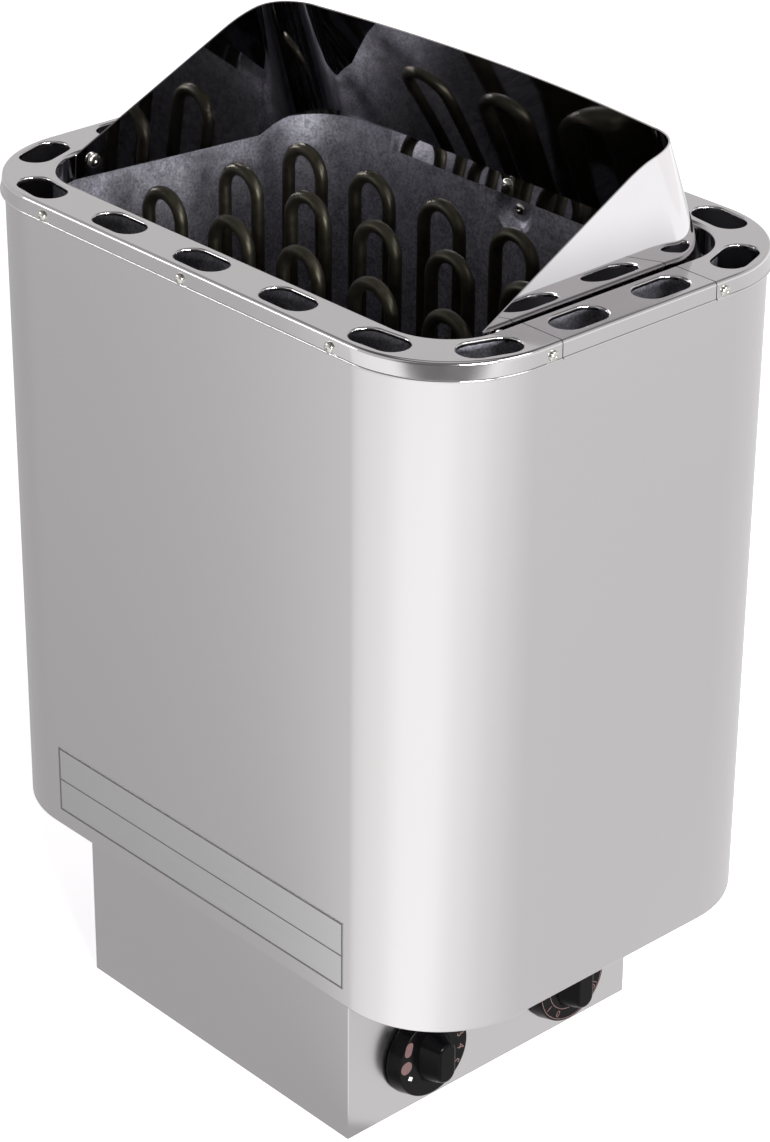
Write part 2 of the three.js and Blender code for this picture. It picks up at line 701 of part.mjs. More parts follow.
// Base plate: carries the chamber and the elements, with air slots round and inside the chamber
function basePlate() {
  const inset = SHEET + COVER_PLAY;
  const plate = slab(
    roundedRectangle(bodyHalfX - inset, bodyHalfY - inset, BODY_CORNER - inset),
    basePlateBottom,
    basePlateTop,
  );
  const punch = (length) => slab(
    oblong(length, AIR_SLOT_WIDTH),
    basePlateBottom - OVERCUT,
    basePlateTop + OVERCUT,
    SLOT_STEPS,
  );
  const pitch = AIR_SLOT_LENGTH + AIR_SLOT_GAP;
  const cuts = [];
  const alongFront = Math.floor((2 * (bodyHalfX - BODY_CORNER)) / pitch) + 1;
  const alongSide = Math.floor((2 * (bodyHalfY - BODY_CORNER)) / pitch) + 1;
  [-airGapY, airGapY].forEach((y) => {
    spread(alongFront, pitch).forEach((x) => cuts.push(punch(AIR_SLOT_LENGTH).translate(x, y, 0)));
  });
  [-airGapX, airGapX].forEach((x) => {
    spread(alongSide, pitch).forEach((y) => {
      cuts.push(punch(AIR_SLOT_LENGTH).rotateZ(Math.PI / 2).translate(x, y, 0));
    });
  });
  const inletX = (boxHalfX + chamberInnerX - CHAMBER_FOOT) / 2;
  [-inletX, inletX].forEach((x) => {
    spread(INLET_SLOTS, INLET_SLOT_PITCH).forEach((y) => {
      cuts.push(punch(INLET_SLOT_LENGTH).rotateZ(Math.PI / 2).translate(x, y, 0));
    });
  });
  eachTerminal((x, y) => {
    const size = BUSH_THREAD + 2 * FIT;
    const hole = upright(size, basePlateBottom - OVERCUT, basePlateTop + OVERCUT, SMALL_SIDES);
    cuts.push(hole.translate(x, y, 0));
  });
  return cutBy(plate, cuts);
}

// Stone grate: an inverted tray with slots between the rows of elements
function stoneGrate() {
  const inset = CHAMBER_FOOT + GRATE_PLAY;
  const halfX = chamberInnerX - inset;
  const halfY = chamberInnerY - inset;
  const corner = chamberInnerCorner - inset;
  const top = slab(roundedRectangle(halfX, halfY, corner), grateTop - HEAVY_SHEET, grateTop);
  const wall = slab(roundedRing(halfX, halfY, corner, HEAVY_SHEET), standBottom, grateTop);
  const bounds = [-halfY, ...Object.values(elementRows), halfY];
  const lines = bounds.slice(1).map((y, index) => (y + bounds[index]) / 2);
  const cutBottom = grateTop - HEAVY_SHEET - OVERCUT;
  const cutTop = grateTop + OVERCUT;
  const slot = oblong(GRATE_SLOT_LENGTH, GRATE_SLOT_WIDTH);
  const cuts = [];
  lines.forEach((y) => {
    spread(GRATE_SLOT_COLUMNS, GRATE_SLOT_PITCH).forEach((x) => {
      cuts.push(slab(slot, cutBottom, cutTop, SLOT_STEPS).translate(x, y, 0));
    });
  });
  eachTerminal((x, y) => {
    const size = ELEMENT_DIAMETER + 2 * GRATE_ELEMENT_PLAY;
    cuts.push(upright(size, cutBottom, cutTop, SMALL_SIDES).translate(x, y, 0));
  });
  return cutBy(joined(top, wall), cuts);
}

function eachTerminal(visit) {
  Object.entries(elementRows).forEach(([row, y]) => {
    Object.entries(terminalSides).forEach(([side, x]) => visit(x, y, `${row}_${side}`));
  });
}

// Heating element: one tube bent into hairpins, its ends brought in and down through the base plate
function heatingElement(y) {
  const bend = legPitch / 2;
  const top = rimTop - ELEMENT_TOP_DROP;
  const runZ = grateTop + ELEMENT_RUN_RISE;
  const loopZ = runZ + ELEMENT_LOOP_RISE;
  const endZ = basePlateBottom - TERMINAL_DROP;
  const corners = [[-terminalX, endZ], [-terminalX, runZ], [-outerLegX, runZ]];
  for (let loop = 0; loop < ELEMENT_LOOPS; loop += 1) {
    const left = -outerLegX + 2 * loop * legPitch;
    const right = left + legPitch;
    if (loop > 0) {
      corners.push([left, loopZ]);
    }
    corners.push([left, top], [right, top]);
    if (loop < ELEMENT_LOOPS - 1) {
      corners.push([right, loopZ]);
    }
  }
  corners.push([outerLegX, runZ], [terminalX, runZ], [terminalX, endZ]);
  const points = corners.map(([x, z]) => new THREE.Vector3(x, y, z));
  return bentTube(new BentRoute(points, bend, ELEMENT_STEPS), ELEMENT_DIAMETER, ELEMENT_SIDES);
}

function elementBush() {
  const top = standBottom + BUSH_HEAD_HEIGHT;
  const bottom = standBottom - BUSH_LENGTH;
  const head = hexagon(BUSH_HEAD_ACROSS, standBottom, top);
  const thread = upright(BUSH_THREAD, bottom, standBottom + OVERCUT, SMALL_SIDES);
  const bore = upright(ELEMENT_DIAMETER + 2 * FIT, bottom - OVERCUT, top + OVERCUT, SMALL_SIDES);
  return cutBy(joined(head, thread), [bore]);
}

function elementNut() {
  const top = basePlateBottom - FIT;
  const bottom = top - NUT_HEIGHT;
  const bore = upright(BUSH_THREAD + 2 * FIT, bottom - OVERCUT, top + OVERCUT, SMALL_SIDES);
  return cutBy(hexagon(NUT_ACROSS, bottom, top), [bore]);
}

// Control box: four folded walls with flanges turned in at top and bottom
function boxShell() {
  const coverTop = HEAVY_SHEET + FIT;
  const walls = slab(rectangleRing(boxHalfX, boxHalfY, SHEET), 0, boxTop);
  const flange = rectangleRing(boxHalfX, boxHalfY, SHEET + BOX_FLANGE);
  const lowerFlange = slab(flange, coverTop, coverTop + SHEET);
  const upperFlange = slab(flange, boxTop - SHEET, boxTop);
  const bushHole = CONTROL_BUSH + 2 * FIT;
  const cuts = [TIMER_Y, THERMOSTAT_Y].map((y) => {
    const hole = alongX(upright(bushHole, boxHalfX - SHEET - OVERCUT, boxHalfX + OVERCUT));
    return hole.translate(0, y, KNOB_Z);
  });
  const throughBack = (diameter, x, z) => {
    const hole = alongY(upright(diameter, boxBackY - SHEET - OVERCUT, boxBackY + OVERCUT));
    return hole.translate(x, 0, z);
  };
  cuts.push(throughBack(GLAND_THREAD + 2 * FIT, 0, GLAND_Z));
  cuts.push(throughBack(CAPILLARY_HOLE, THERMOSTAT_SENSOR_X, THERMOSTAT_CAPILLARY_Z));
  cuts.push(throughBack(CAPILLARY_HOLE, LIMITER_SENSOR_X, LIMITER_CAPILLARY_Z));
  return cutBy(joined(walls, lowerFlange, upperFlange).translate(0, BOX_CENTRE_Y, 0), cuts);
}

function bottomCover() {
  const halfX = boxHalfX - SHEET - COVER_PLAY;
  const halfY = boxHalfY - SHEET - COVER_PLAY;
  const plate = slab(rectangle(halfX, halfY), 0, HEAVY_SHEET).translate(0, BOX_CENTRE_Y, 0);
  const hole = upright(BUTTON_DIAMETER + 2 * FIT, -OVERCUT, HEAVY_SHEET + OVERCUT);
  return cutBy(plate, [hole.translate(LIMITER.x, LIMITER.y, 0)]);
}

// Timer and thermostat: a body behind the right wall of the box, a shaft and a knob outside it
const controlFace = boxHalfX - SHEET - FIT;
const knobBack = boxHalfX + KNOB_WALL_GAP;
const shaftEnd = knobBack + KNOB_BORE - FIT;
const shaftStart = controlFace - SHAFT_INSERTION;

function controlBody({ width, height, depth, corner }, y) {
  const body = slab(roundedRectangle(height / 2, width / 2, corner), controlFace - depth, controlFace);
  const bush = upright(CONTROL_BUSH, controlFace - OVERCUT, boxHalfX + FIT);
  const bore = upright(SHAFT_DIAMETER + 2 * FIT, shaftStart - FIT, boxHalfX + OVERCUT);
  return alongX(cutBy(joined(body, bush), [bore])).translate(0, y, KNOB_Z);
}

function controlShaft(y) {
  return alongX(upright(SHAFT_DIAMETER, shaftStart, shaftEnd)).translate(0, y, KNOB_Z);
}

// Knob: a thick disc with a chamfered edge and a bar grip standing upright across its face
function controlKnob(y) {
  const radius = KNOB_DIAMETER / 2;
  const disc = turned([
    [0, 0],
    [radius, 0],
    [radius, KNOB_SKIRT - KNOB_CHAMFER],
    [radius - KNOB_CHAMFER, KNOB_SKIRT],
    [0, KNOB_SKIRT],
  ], KNOB_SIDES).rotateX(Math.PI / 2);
  const core = oblong(GRIP_LENGTH - 2 * GRIP_ROUND, GRIP_WIDTH - 2 * GRIP_ROUND);
  const bar = new THREE.ExtrudeGeometry(core, {
    depth: GRIP_HEIGHT,
    bevelThickness: GRIP_ROUND,
    bevelSize: GRIP_ROUND,
    bevelSegments: GRIP_ROUND_STEPS,
    curveSegments: HOLE_STEPS,
  }).translate(0, 0, KNOB_SKIRT - GRIP_ROUND);
  const bore = upright(SHAFT_DIAMETER + 2 * FIT, -OVERCUT, KNOB_BORE);
  const knob = cutBy(joined(disc, bar), [bore]);
  return alongX(knob.translate(0, 0, knobBack)).translate(0, y, KNOB_Z);
}

// Overheat limiter over the bottom cover, with a sprung reset button recessed in the cover
const limiterBottom = HEAVY_SHEET + FIT;

function limiterBody() {
  const { width, depth, height, corner } = LIMITER;
  const body = slab(roundedRectangle(width / 2, depth / 2, corner), limiterBottom, limiterBottom + height);
  const boreTop = BUTTON_RECESS + BUTTON_LENGTH + BUTTON_TRAVEL + FIT;
  const bore = upright(BUTTON_DIAMETER + 2 * FIT, limiterBottom - OVERCUT, boreTop);
  return cutBy(body, [bore]).translate(LIMITER.x, LIMITER.y, 0);
}

function resetButton() {
  const button = upright(BUTTON_DIAMETER, BUTTON_RECESS, BUTTON_RECESS + BUTTON_LENGTH);
  return button.translate(LIMITER.x, LIMITER.y, 0);
}

function terminalBlock() {
  const { width, length, height, y, z } = TERMINAL_BLOCK;
  const left = -boxHalfX + SHEET + FIT;
  const right = left + width;
  const body = block(
    new THREE.Vector3(left, y - length / 2, z - height / 2),
    new THREE.Vector3(right, y + length / 2, z + height / 2),
  );
  const pitch = length / TERMINAL_POLES;
  const grooves = spread(TERMINAL_POLES - 1, pitch).map((offset) => block(
    new THREE.Vector3(right - TERMINAL_GROOVE_DEPTH, y + offset - TERMINAL_GROOVE / 2, z - height),
    new THREE.Vector3(right + OVERCUT, y + offset + TERMINAL_GROOVE / 2, z + height),
  ));
  return cutBy(body, grooves);
}

// Sensor: a capillary tube from its control to a bulb in the air gap behind the chamber
function sensor({ x, y, startZ, crossZ }) {
  const bulbBottom = standBottom + BULB_RISE;
  const corners = [[y, startZ], [y, crossZ], [airGapY, crossZ], [airGapY, bulbBottom + OVERCUT]];
  const points = corners.map(([along, z]) => new THREE.Vector3(x, along, z));
  const route = new BentRoute(points, CAPILLARY_BEND, ELEMENT_STEPS);
  const capillary = bentTube(route, CAPILLARY_DIAMETER, CAPILLARY_SIDES);
  const bulb = upright(BULB_DIAMETER, bulbBottom, bulbBottom + BULB_LENGTH, SMALL_SIDES);
  return joined(capillary, bulb.translate(x, airGapY, 0));
}

function cableGland() {
  const thread = GLAND_THREAD / 2;
  const dome = GLAND_DOME / 2;
  const wall = boxBackY + FIT;
  const start = wall - GLAND_THREAD_LENGTH;
  const flangeEnd = wall + GLAND_FLANGE_LENGTH;
  const end = flangeEnd + GLAND_DOME_LENGTH;
  const body = turned([
    [0, start],
    [thread, start],
    [thread, wall],
    [dome, wall],
    [dome, end - GLAND_DOME_ROUND],
    [dome - GLAND_DOME_ROUND, end],
    [0, end],
  ]);
  const flange = alongY(hexagon(GLAND_FLANGE, wall, flangeEnd));
  const hole = alongY(upright(GLAND_BORE, start - OVERCUT, end + OVERCUT));
  return cutBy(joined(body, flange), [hole]).translate(0, 0, GLAND_Z);
}

function glandLocknut() {
  const end = boxBackY - SHEET - FIT;
  const ring = hexagon(LOCKNUT_ACROSS, end - LOCKNUT_HEIGHT, end);
  const bore = upright(GLAND_THREAD + 2 * FIT, end - LOCKNUT_HEIGHT - OVERCUT, end + OVERCUT);
  return alongY(cutBy(ring, [bore])).translate(0, 0, GLAND_Z);
}

// Wall bracket: a folded channel screwed to the wall, with two hooks that carry the jacket
function wallBracket() {
  const corner = (x, y, z) => new THREE.Vector3(x, y, z);
  const halfWidth = BRACKET_WIDTH / 2;
  const innerHalf = halfWidth - BRACKET_SHEET;
  const top = jacketTop - BRACKET_TOP_DROP;
  const bottom = top - BRACKET_HEIGHT;
  const front = bodyHalfY + FIT;
  const plateFront = wallFaceY - BRACKET_SHEET;
  const bar = block(corner(-halfWidth, front, bottom), corner(halfWidth, wallFaceY, top));
  const hollow = block(
    corner(-innerHalf, front - OVERCUT, bottom - OVERCUT),
    corner(innerHalf, plateFront, top + OVERCUT),
  );
  const hookFront = bodyHalfY - SHEET - HOOK_REACH;
  const hooks = spread(2, HOOK_SPACING).flatMap((x) => {
    const start = corner(x - HOOK_WIDTH / 2, hookFront, hookZ);
    const right = x + HOOK_WIDTH / 2;
    const arm = block(start, corner(right, wallFaceY - FIT, hookZ + BRACKET_SHEET));
    const lip = block(start, corner(right, hookFront + BRACKET_SHEET, hookZ + HOOK_LIP));
    return [arm, lip];
  });
  const holeOutline = oblong(WALL_HOLE_LENGTH, WALL_HOLE_WIDTH);
  const centreZ = (top + bottom) / 2;
  const holes = spread(2, WALL_HOLE_SPACING_X).flatMap((x) => spread(2, WALL_HOLE_SPACING_Z).map((z) => {
    const hole = slab(holeOutline, plateFront - OVERCUT, wallFaceY + OVERCUT, SLOT_STEPS);
    return alongY(hole.rotateZ(Math.PI / 2)).translate(x, 0, centreZ + z);
  }));
  return cutBy(joined(cutBy(bar, [hollow]), ...hooks), holes);
}

const rim = wholeRim();
addPiece('outer_jacket', outerJacket(), SATIN_STAINLESS);
addPiece('rim_frame', cutBy(rim, [rimParting(RIM_SEGMENT_LENGTH)]), POLISHED_STAINLESS);
addPiece('rim_segment', common(rim, rimParting(RIM_SEGMENT_LENGTH - 2 * RIM_SEAM)), POLISHED_STAINLESS);
addPiece('steam_deflector', steamDeflector(), MIRROR_STAINLESS);
addPiece('deflector_screw_left', deflectorScrew(-1), NICKEL_BRASS);
addPiece('deflector_screw_right', deflectorScrew(1), NICKEL_BRASS);
addPiece('stone_chamber', stoneChamber(), GALVANISED);
addPiece('chamber_stay', chamberStay(), GALVANISED);
addPiece('stone_grate', stoneGrate(), GALVANISED);
addPiece('base_plate', basePlate(), GALVANISED);
Object.entries(elementRows).forEach(([row, y]) => {
  addPiece(`heating_element_${row}`, heatingElement(y), ELEMENT_STEEL);
});
eachTerminal((x, y, place) => {
  addPiece(`element_bush_${place}`, elementBush().translate(x, y, 0), NICKEL_BRASS);
  addPiece(`element_nut_${place}`, elementNut().translate(x, y, 0), NICKEL_BRASS);
});
addPiece('box_shell', boxShell(), SATIN_STAINLESS);
addPiece('bottom_cover', bottomCover(), SATIN_STAINLESS);
addPiece('timer_body', controlBody(TIMER_BODY, TIMER_Y), GREY_PLASTIC);
addPiece('timer_shaft', controlShaft(TIMER_Y), NICKEL_BRASS);
addPiece('timer_knob', controlKnob(TIMER_Y), BLACK_PLASTIC);
addPiece('thermostat_body', controlBody(THERMOSTAT_BODY, THERMOSTAT_Y), GREY_PLASTIC);
addPiece('thermostat_shaft', controlShaft(THERMOSTAT_Y), NICKEL_BRASS);
addPiece('thermostat_knob', controlKnob(THERMOSTAT_Y), BLACK_PLASTIC);
addPiece('limiter_body', limiterBody(), GREY_PLASTIC);
addPiece('reset_button', resetButton(), RED_PLASTIC);
addPiece('terminal_block', terminalBlock(), CERAMIC);
addPiece('thermostat_sensor', sensor({
  x: THERMOSTAT_SENSOR_X,
  y: THERMOSTAT_Y,
  startZ: KNOB_Z + THERMOSTAT_BODY.height / 2 + FIT,
  crossZ: THERMOSTAT_CAPILLARY_Z,
}), COPPER);
addPiece('limiter_sensor', sensor({
  x: LIMITER_SENSOR_X,
  y: LIMITER.y,
  startZ: limiterBottom + LIMITER.height + FIT,
  crossZ: LIMITER_CAPILLARY_Z,
}), COPPER);
addPiece('cable_gland', cableGland(), BLACK_PLASTIC);
addPiece('gland_locknut', glandLocknut(), BLACK_PLASTIC);
addPiece('wall_bracket', wallBracket(), GALVANISED);

// The origin stands under the middle of the whole heater, bracket included
heater.position.y = (rimOuterY - wallFaceY) / 2;

const part = new THREE.Group();
part.add(heater);
part.updateMatrixWorld(true);

export default part;
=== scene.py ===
"""Looks of an electric sauna heater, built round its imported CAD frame."""

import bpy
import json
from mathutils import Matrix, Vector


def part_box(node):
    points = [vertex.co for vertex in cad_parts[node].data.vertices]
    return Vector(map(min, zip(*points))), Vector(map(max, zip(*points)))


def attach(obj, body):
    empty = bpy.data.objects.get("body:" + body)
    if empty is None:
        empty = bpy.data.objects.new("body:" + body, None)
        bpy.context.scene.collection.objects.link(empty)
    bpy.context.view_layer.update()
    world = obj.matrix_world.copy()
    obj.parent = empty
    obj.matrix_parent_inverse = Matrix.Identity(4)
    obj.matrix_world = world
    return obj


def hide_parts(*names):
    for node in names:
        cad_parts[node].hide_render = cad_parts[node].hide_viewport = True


bl_info = {
    "name": "Sauna heater looks",
    "version": (1, 0, 0),
    "blender": (4, 5, 0),
    "location": "3D View > Sidebar > Heater",
    "description": "Dresses the packed sauna heater with sheet metal, elements, knobs, finishes and studio",
    "category": "Object",
}

import json
import math

import bmesh
import bpy
from mathutils import Matrix, Vector
from mathutils.geometry import delaunay_2d_cdt

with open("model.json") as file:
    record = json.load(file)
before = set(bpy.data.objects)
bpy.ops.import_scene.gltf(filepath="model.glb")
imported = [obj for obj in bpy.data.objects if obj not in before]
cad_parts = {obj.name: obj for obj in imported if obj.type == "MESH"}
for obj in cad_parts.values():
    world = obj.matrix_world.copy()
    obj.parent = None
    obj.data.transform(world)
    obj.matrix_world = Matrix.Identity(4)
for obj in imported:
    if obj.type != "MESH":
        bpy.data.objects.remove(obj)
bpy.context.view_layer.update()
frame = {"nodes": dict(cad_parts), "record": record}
IMAGE_HEIGHT = 1142
SENSOR_WIDTH = 36.0

JACKET_LOW, JACKET_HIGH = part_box("outer_jacket")
RIM_LOW, RIM_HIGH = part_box("rim_frame")
CENTRE_Y = (JACKET_LOW.y + JACKET_HIGH.y) / 2

# How finely round parts are drawn, and the angle from which an edge counts as sharp
CORNER_STEPS = 24
BEND_STEPS = 6
HOLE_STEPS = 14
DOME_STEPS = 8
SCREW_SIDES = 24
SHARP_ANGLE = math.radians(38)

# Points nearer than this are one point; points along a bent route lie further apart than that
MERGE_DISTANCE = 1e-6
SHORTEST_STEP = 1e-4

# The kind of triangulation that keeps what lies inside the outlines
INSIDE_OUTLINES = 1

# Shares of a screw head's height: its straight edge, and the floor of its drive
HEAD_EDGE = 0.3
DRIVE_FLOOR = 0.35

# Size of a text whose figures are one unit high
FIGURE_SCALE = 1.4

# What noise mostly keeps between, and the detail of noise that is drawn out
NOISE_LOW = 0.3
NOISE_HIGH = 0.7
GRAIN_DETAIL = 2.0

# Sockets of a mix node that mixes colours
FIRST_COLOUR = 6
SECOND_COLOUR = 7
MIXED_COLOUR = 2


def linear(hex_colour):
    """An sRGB hex colour as linear red, green, blue and alpha"""
    channels = [int(hex_colour[start:start + 2], 16) / 255 for start in (1, 3, 5)]
    straight = [c / 12.92 if c <= 0.04045 else ((c + 0.055) / 1.055) ** 2.4 for c in channels]
    return (*straight, 1.0)


def length(name, description, default):
    return bpy.props.FloatProperty(
        name=name, description=description, default=default, min=0.0, precision=4, unit="LENGTH"
    )


def place(name, description, default):
    return bpy.props.FloatProperty(
        name=name, description=description, default=default, precision=4, unit="LENGTH"
    )


def angle(name, description, degrees):
    return bpy.props.FloatProperty(
        name=name, description=description, default=math.radians(degrees), subtype="ANGLE"
    )


def colour(name, description, hex_colour):
    return bpy.props.FloatVectorProperty(
        name=name,
        description=description,
        default=linear(hex_colour),
        size=4,
        min=0.0,
        max=1.0,
        subtype="COLOR",
    )


def count(name, description, default):
    return bpy.props.IntProperty(name=name, description=description, default=default, min=1)


def brightness(name, description, default):
    return bpy.props.FloatProperty(name=name, description=description, default=default)


def power(name, description, watts):
    return bpy.props.FloatProperty(name=name, description=description, default=watts, unit="POWER")


class HeaterBody(bpy.types.PropertyGroup):
    """Sizes of the jacket, the stone chamber and the control box"""

    sheet: length("Sheet", "Thickness of the sheet metal", 0.001)
    corner: length("Jacket corner", "Outer radius of the jacket's corners", 0.068)
    lip: length("Jacket lip", "Width of the lip folded in under the jacket", 0.008)
    bend: length("Lip bend", "Radius of the fold at the lower edge of the jacket", 0.0016)
    slot_width: length("Hook slot width", "Width of each slot for a hook of the bracket", 0.026)
    slot_height: length("Hook slot height", "Height of each slot for a hook of the bracket", 0.020)
    slot_spacing: length("Hook slot spacing", "Distance between the two hook slots", 0.120)
    slot_top: length("Hook slot top", "Height of the upper edge of the hook slots", 0.4323)
    chamber_foot: length("Chamber foot", "Width of the foot folded in under the stone chamber", 0.010)
    dimple_width: length("Dimple width", "Width of the dent in the chamber's back wall", 0.032)
    dimple_floor: length("Dimple floor", "Width of the flat floor of the dent", 0.015)
    dimple_depth: length("Dimple depth", "Depth of the dent", 0.006)
    dimple_height: length("Dimple height", "Height of the middle of the dent", 0.485)
    dimple_place: place("Dimple place", "Distance of the dent from the middle of the back wall", -0.006)
    lap_left: place("Lap edge", "Where the chamber sheet laps over itself on the back wall", -0.115)
    lap_width: length("Lap width", "Width of the lap of the chamber sheet", 0.030)
    box_bend: length("Box bend", "Radius of the folds of the control box", 0.0004)
    box_flange: length("Box flange", "Width of the flanges turned in at the ends of the box", 0.012)


class HeaterRim(bpy.types.PropertyGroup):
    """Sizes of the pierced rim"""

    width: length("Width", "Width of the rim from the opening to its skirt", 0.0313)
    corner: length("Opening corner", "Radius of the corners of the opening", 0.038)
    skirt: length("Skirt", "Height of the skirt over the jacket", 0.011)
    bend: length("Bend", "Radius of the two folds of the rim", 0.0021)
    hem: length("Hem", "Radius of the rolled lower edge of the skirt", 0.0007)
    flare: length("Corner flare", "How much tighter the skirt's corners are at its lower edge", 0.0024)
    hole_length: length("Hole length", "Length of an air hole", 0.0365)
    hole_width: length("Hole width", "Width of an air hole", 0.0204)
    hole_lip: length("Hole lip", "Radius of the edge drawn down round an air hole", 0.0011)
    hole_wall: length("Hole wall", "Straight length under the drawn edge", 0.0012)
    front_pitch: length("Front pitch", "Distance between air holes along the front and back", 0.0715)
    front_holes: count("Front holes", "Air holes along the front, and along the back", 5)
    side_pitch: length("Side pitch", "Distance between air holes along a side", 0.062)
    side_holes: count("Side holes", "Air holes along each side", 4)
    segment: length("Segment", "Length of the separate piece of rim over the knobs", 0.117)
    seam: length("Seam", "Gap at each end of the separate piece", 0.0006)


class HeaterDeflector(bpy.types.PropertyGroup):
    """Sizes of the leaning steam deflector"""

    side_gap: length("Side gap", "Distance from the rim's flange to the foot of each side", 0.0016)
    back_gap: length("Back gap", "Distance from the rim's flange to the foot of the back", 0.0095)
    base_corner: length("Foot corner", "Bend radius at the foot of the sheet", 0.033)
    top_corner: length("Top corner", "Bend radius at the top of the sheet", 0.028)
    side_lean: length("Side lean", "How far each side leans in at full height", 0.0075)
    back_lean: length("Back lean", "How far the ends of the back lean in at full height", 0.0261)
    bow: length("Bow", "How far the middle of the top edge bows back", 0.0095)
    rise: length("Rise", "Height over the rim", 0.064)
    drop: length("Drop", "Depth of the tips of the foot under the rim", 0.0155)
    dip: length("Foot dip", "How far the foot falls from the tips to the bends", 0.007)
    back_lift: length("Back lift", "How far the foot of the back lies over the tips of the foot", 0.006)
    relief: length("Relief", "Distance before each bend at which the foot starts to rise", 0.011)
    tab_width: length("Tab width", "Width of the tab under the back", 0.200)
    tab_depth: length("Tab depth", "Depth of the tab under the back", 0.012)
    tab_tilt: angle("Tab tilt", "How far the tab is turned forwards", 8)
    tip: length("Tip", "Distance from the jacket's front to the tips of the sheet", 0.061)
    rake: angle("Rake", "Slope of the side edges", 26.3)
    blend: length("Edge blend", "Length over which a side edge runs into the top", 0.010)


class HeaterElements(bpy.types.PropertyGroup):
    """Sizes of the bent-tube heating elements"""

    diameter: length("Tube", "Diameter of the element tube", 0.008)
    loops: count("Hairpins", "Hairpins in a row", 5)
    reach: length("Reach", "Distance from the middle to the outer legs", 0.135)
    top_drop: length("Top drop", "Depth of the tube's centre under the rim at the hairpins", 0.015)
    run_height: length("Run height", "Height of the run that joins the legs to the terminals", 0.1701)
    loop_rise: length("Lower bend rise", "Height of the lower bends over that run", 0.018)
    terminal: length("Terminal", "Distance from the middle to each terminal", 0.075)
    terminal_foot: length("Terminal foot", "Height of the lower end of each terminal", 0.0873)


class HeaterControls(bpy.types.PropertyGroup):
    """Sizes of the knobs, the bare plate and the small screws"""

    knob_inset: length("Knob inset", "How far the edge of a knob lies inside its solid", 0.0015)
    taper: length("Knob taper", "How much smaller the face of a knob is than its foot", 0.0022)
    rounding: length("Knob rounding", "Rounding of the edges of a knob", 0.0007)
    disc: length("Knob disc", "Height of the disc of a knob", 0.0096)
    grip_width: length("Grip width", "Width of the bar grip of a knob at its top", 0.0145)
    grip_length: length("Grip length", "Length of the bar grip of a knob at its top", 0.028)
    grip_round: length("Grip rounding", "Rounding along the top of the bar grip", 0.0024)
    grip_draft: length("Grip draft", "How much wider the bar grip is at its foot, on each side", 0.0046)
    print_radius: length("Print radius", "Radius of the ring of printed marks", 0.0222)
    figure: length("Figure", "Height of the printed figures", 0.0056)
    ink: length("Ink", "Thickness of the print", 0.0001)
    plate_left: place("Plate left", "Left edge of the bare plate", -0.130)
    plate_right: place("Plate right", "Right edge of the bare plate", 0.132)
    plate_bottom: place("Plate bottom", "Lower edge of the bare plate", 0.1197)
    plate_top: place("Plate top", "Upper edge of the bare plate", 0.164)
    plate_line: length("Plate line", "Width of the lines printed on the bare plate", 0.0012)
    plate_foil: length("Plate foil", "Thickness of the bare plate", 0.00025)
    screw: length("Skirt screw", "Head diameter of the screws in the rim's skirt", 0.0064)


class HeaterFinishes(bpy.types.PropertyGroup):
    """Colours of the finishes"""

    satin: colour("Satin stainless", "Jacket and control box", "#CFCCCD")
    polished: colour("Polished stainless", "Rim", "#D3D1D2")
    mirror: colour("Mirror stainless", "Steam deflector", "#D8D6D8")
    zinc: colour("Zinc", "Stone chamber, grate and bracket", "#CBCAD4")
    zinc_dark: colour("Zinc shade", "Darker specks of the zinc", "#8E8D98")
    element: colour("Element", "Heat-darkened element tube", "#433F34")
    element_dark: colour("Element scale", "Darker scale on the element tube", "#26241C")
    nickel: colour("Nickel", "Screws, bushes, nuts and shafts", "#CFCCC6")
    black: colour("Black plastic", "Knobs and cable gland", "#070607")
    grey: colour("Grey plastic", "Housings in the control box", "#4C4E50")
    red: colour("Red plastic", "Reset button", "#A32A22")
    ceramic: colour("Ceramic", "Terminal block", "#E3DDD0")
    copper: colour("Copper", "Capillary tubes", "#B8754D")
    rose_ink: colour("Rose ink", "Printed marks of the knobs", "#674D4C")
    white_ink: colour("White ink", "Tick on the timer knob", "#E9E4E4")
    foil: colour("Foil", "Bare plate", "#C9C8C9")
    line: colour("Plate line", "Lines printed on the bare plate", "#5B595B")
    floor: colour("Floor", "Studio floor", "#F7F6F7")


class HeaterStage(bpy.types.PropertyGroup):
    """Camera and light"""

    azimuth: angle("Azimuth", "Camera's angle round the heater, from the front towards the knobs", 47.47)
    elevation: angle("Elevation", "Camera's angle over the horizon", 27.59)
    roll: angle("Roll", "Camera's turn about its own line of sight", 0.48)
    focal_pixels: bpy.props.FloatProperty(
        name="Focal length", description="Focal length in pixels of the photograph", default=3416.19
    )
    camera: bpy.props.FloatVectorProperty(
        name="Camera", description="Place of the camera", default=(1.3347, -1.2259, 1.2307), unit="LENGTH"
    )
    floor_size: length("Floor", "Width of the floor", 40.0)
    backdrop: length("Backdrop", "Height of the paper wall round the floor, which only the camera sees", 12.0)
    card_radius: length("Card", "Radius of the shaded part of the round reflector card", 2.0)
    far: brightness("Far", "Brightness of the card beyond its shaded part", 1.3)
    shade: brightness("Shade", "Brightness of the studio beyond the card, before the front", 0.62)
    surround: brightness("Surround", "Brightness of the studio beyond the card, behind the knob side", 1.25)
    sky: brightness("Sky", "Brightness of the studio's upper walls", 0.7)
    zenith: brightness("Zenith", "Brightness high over the heater", 0.12)
    ceiling: brightness("Ceiling", "Brightness of the pale ceiling straight overhead", 0.6)
    lens_side: brightness("Camera side", "Brightness of the studio behind the camera", 0.18)
    key: power("Key", "Power of the low softbox on the knob side", 42.0)
    side: power("Side light", "Power of the high softbox behind the knob side", 14.0)
    edge: power("Edge light", "Power of the softbox before the front", 7.0)


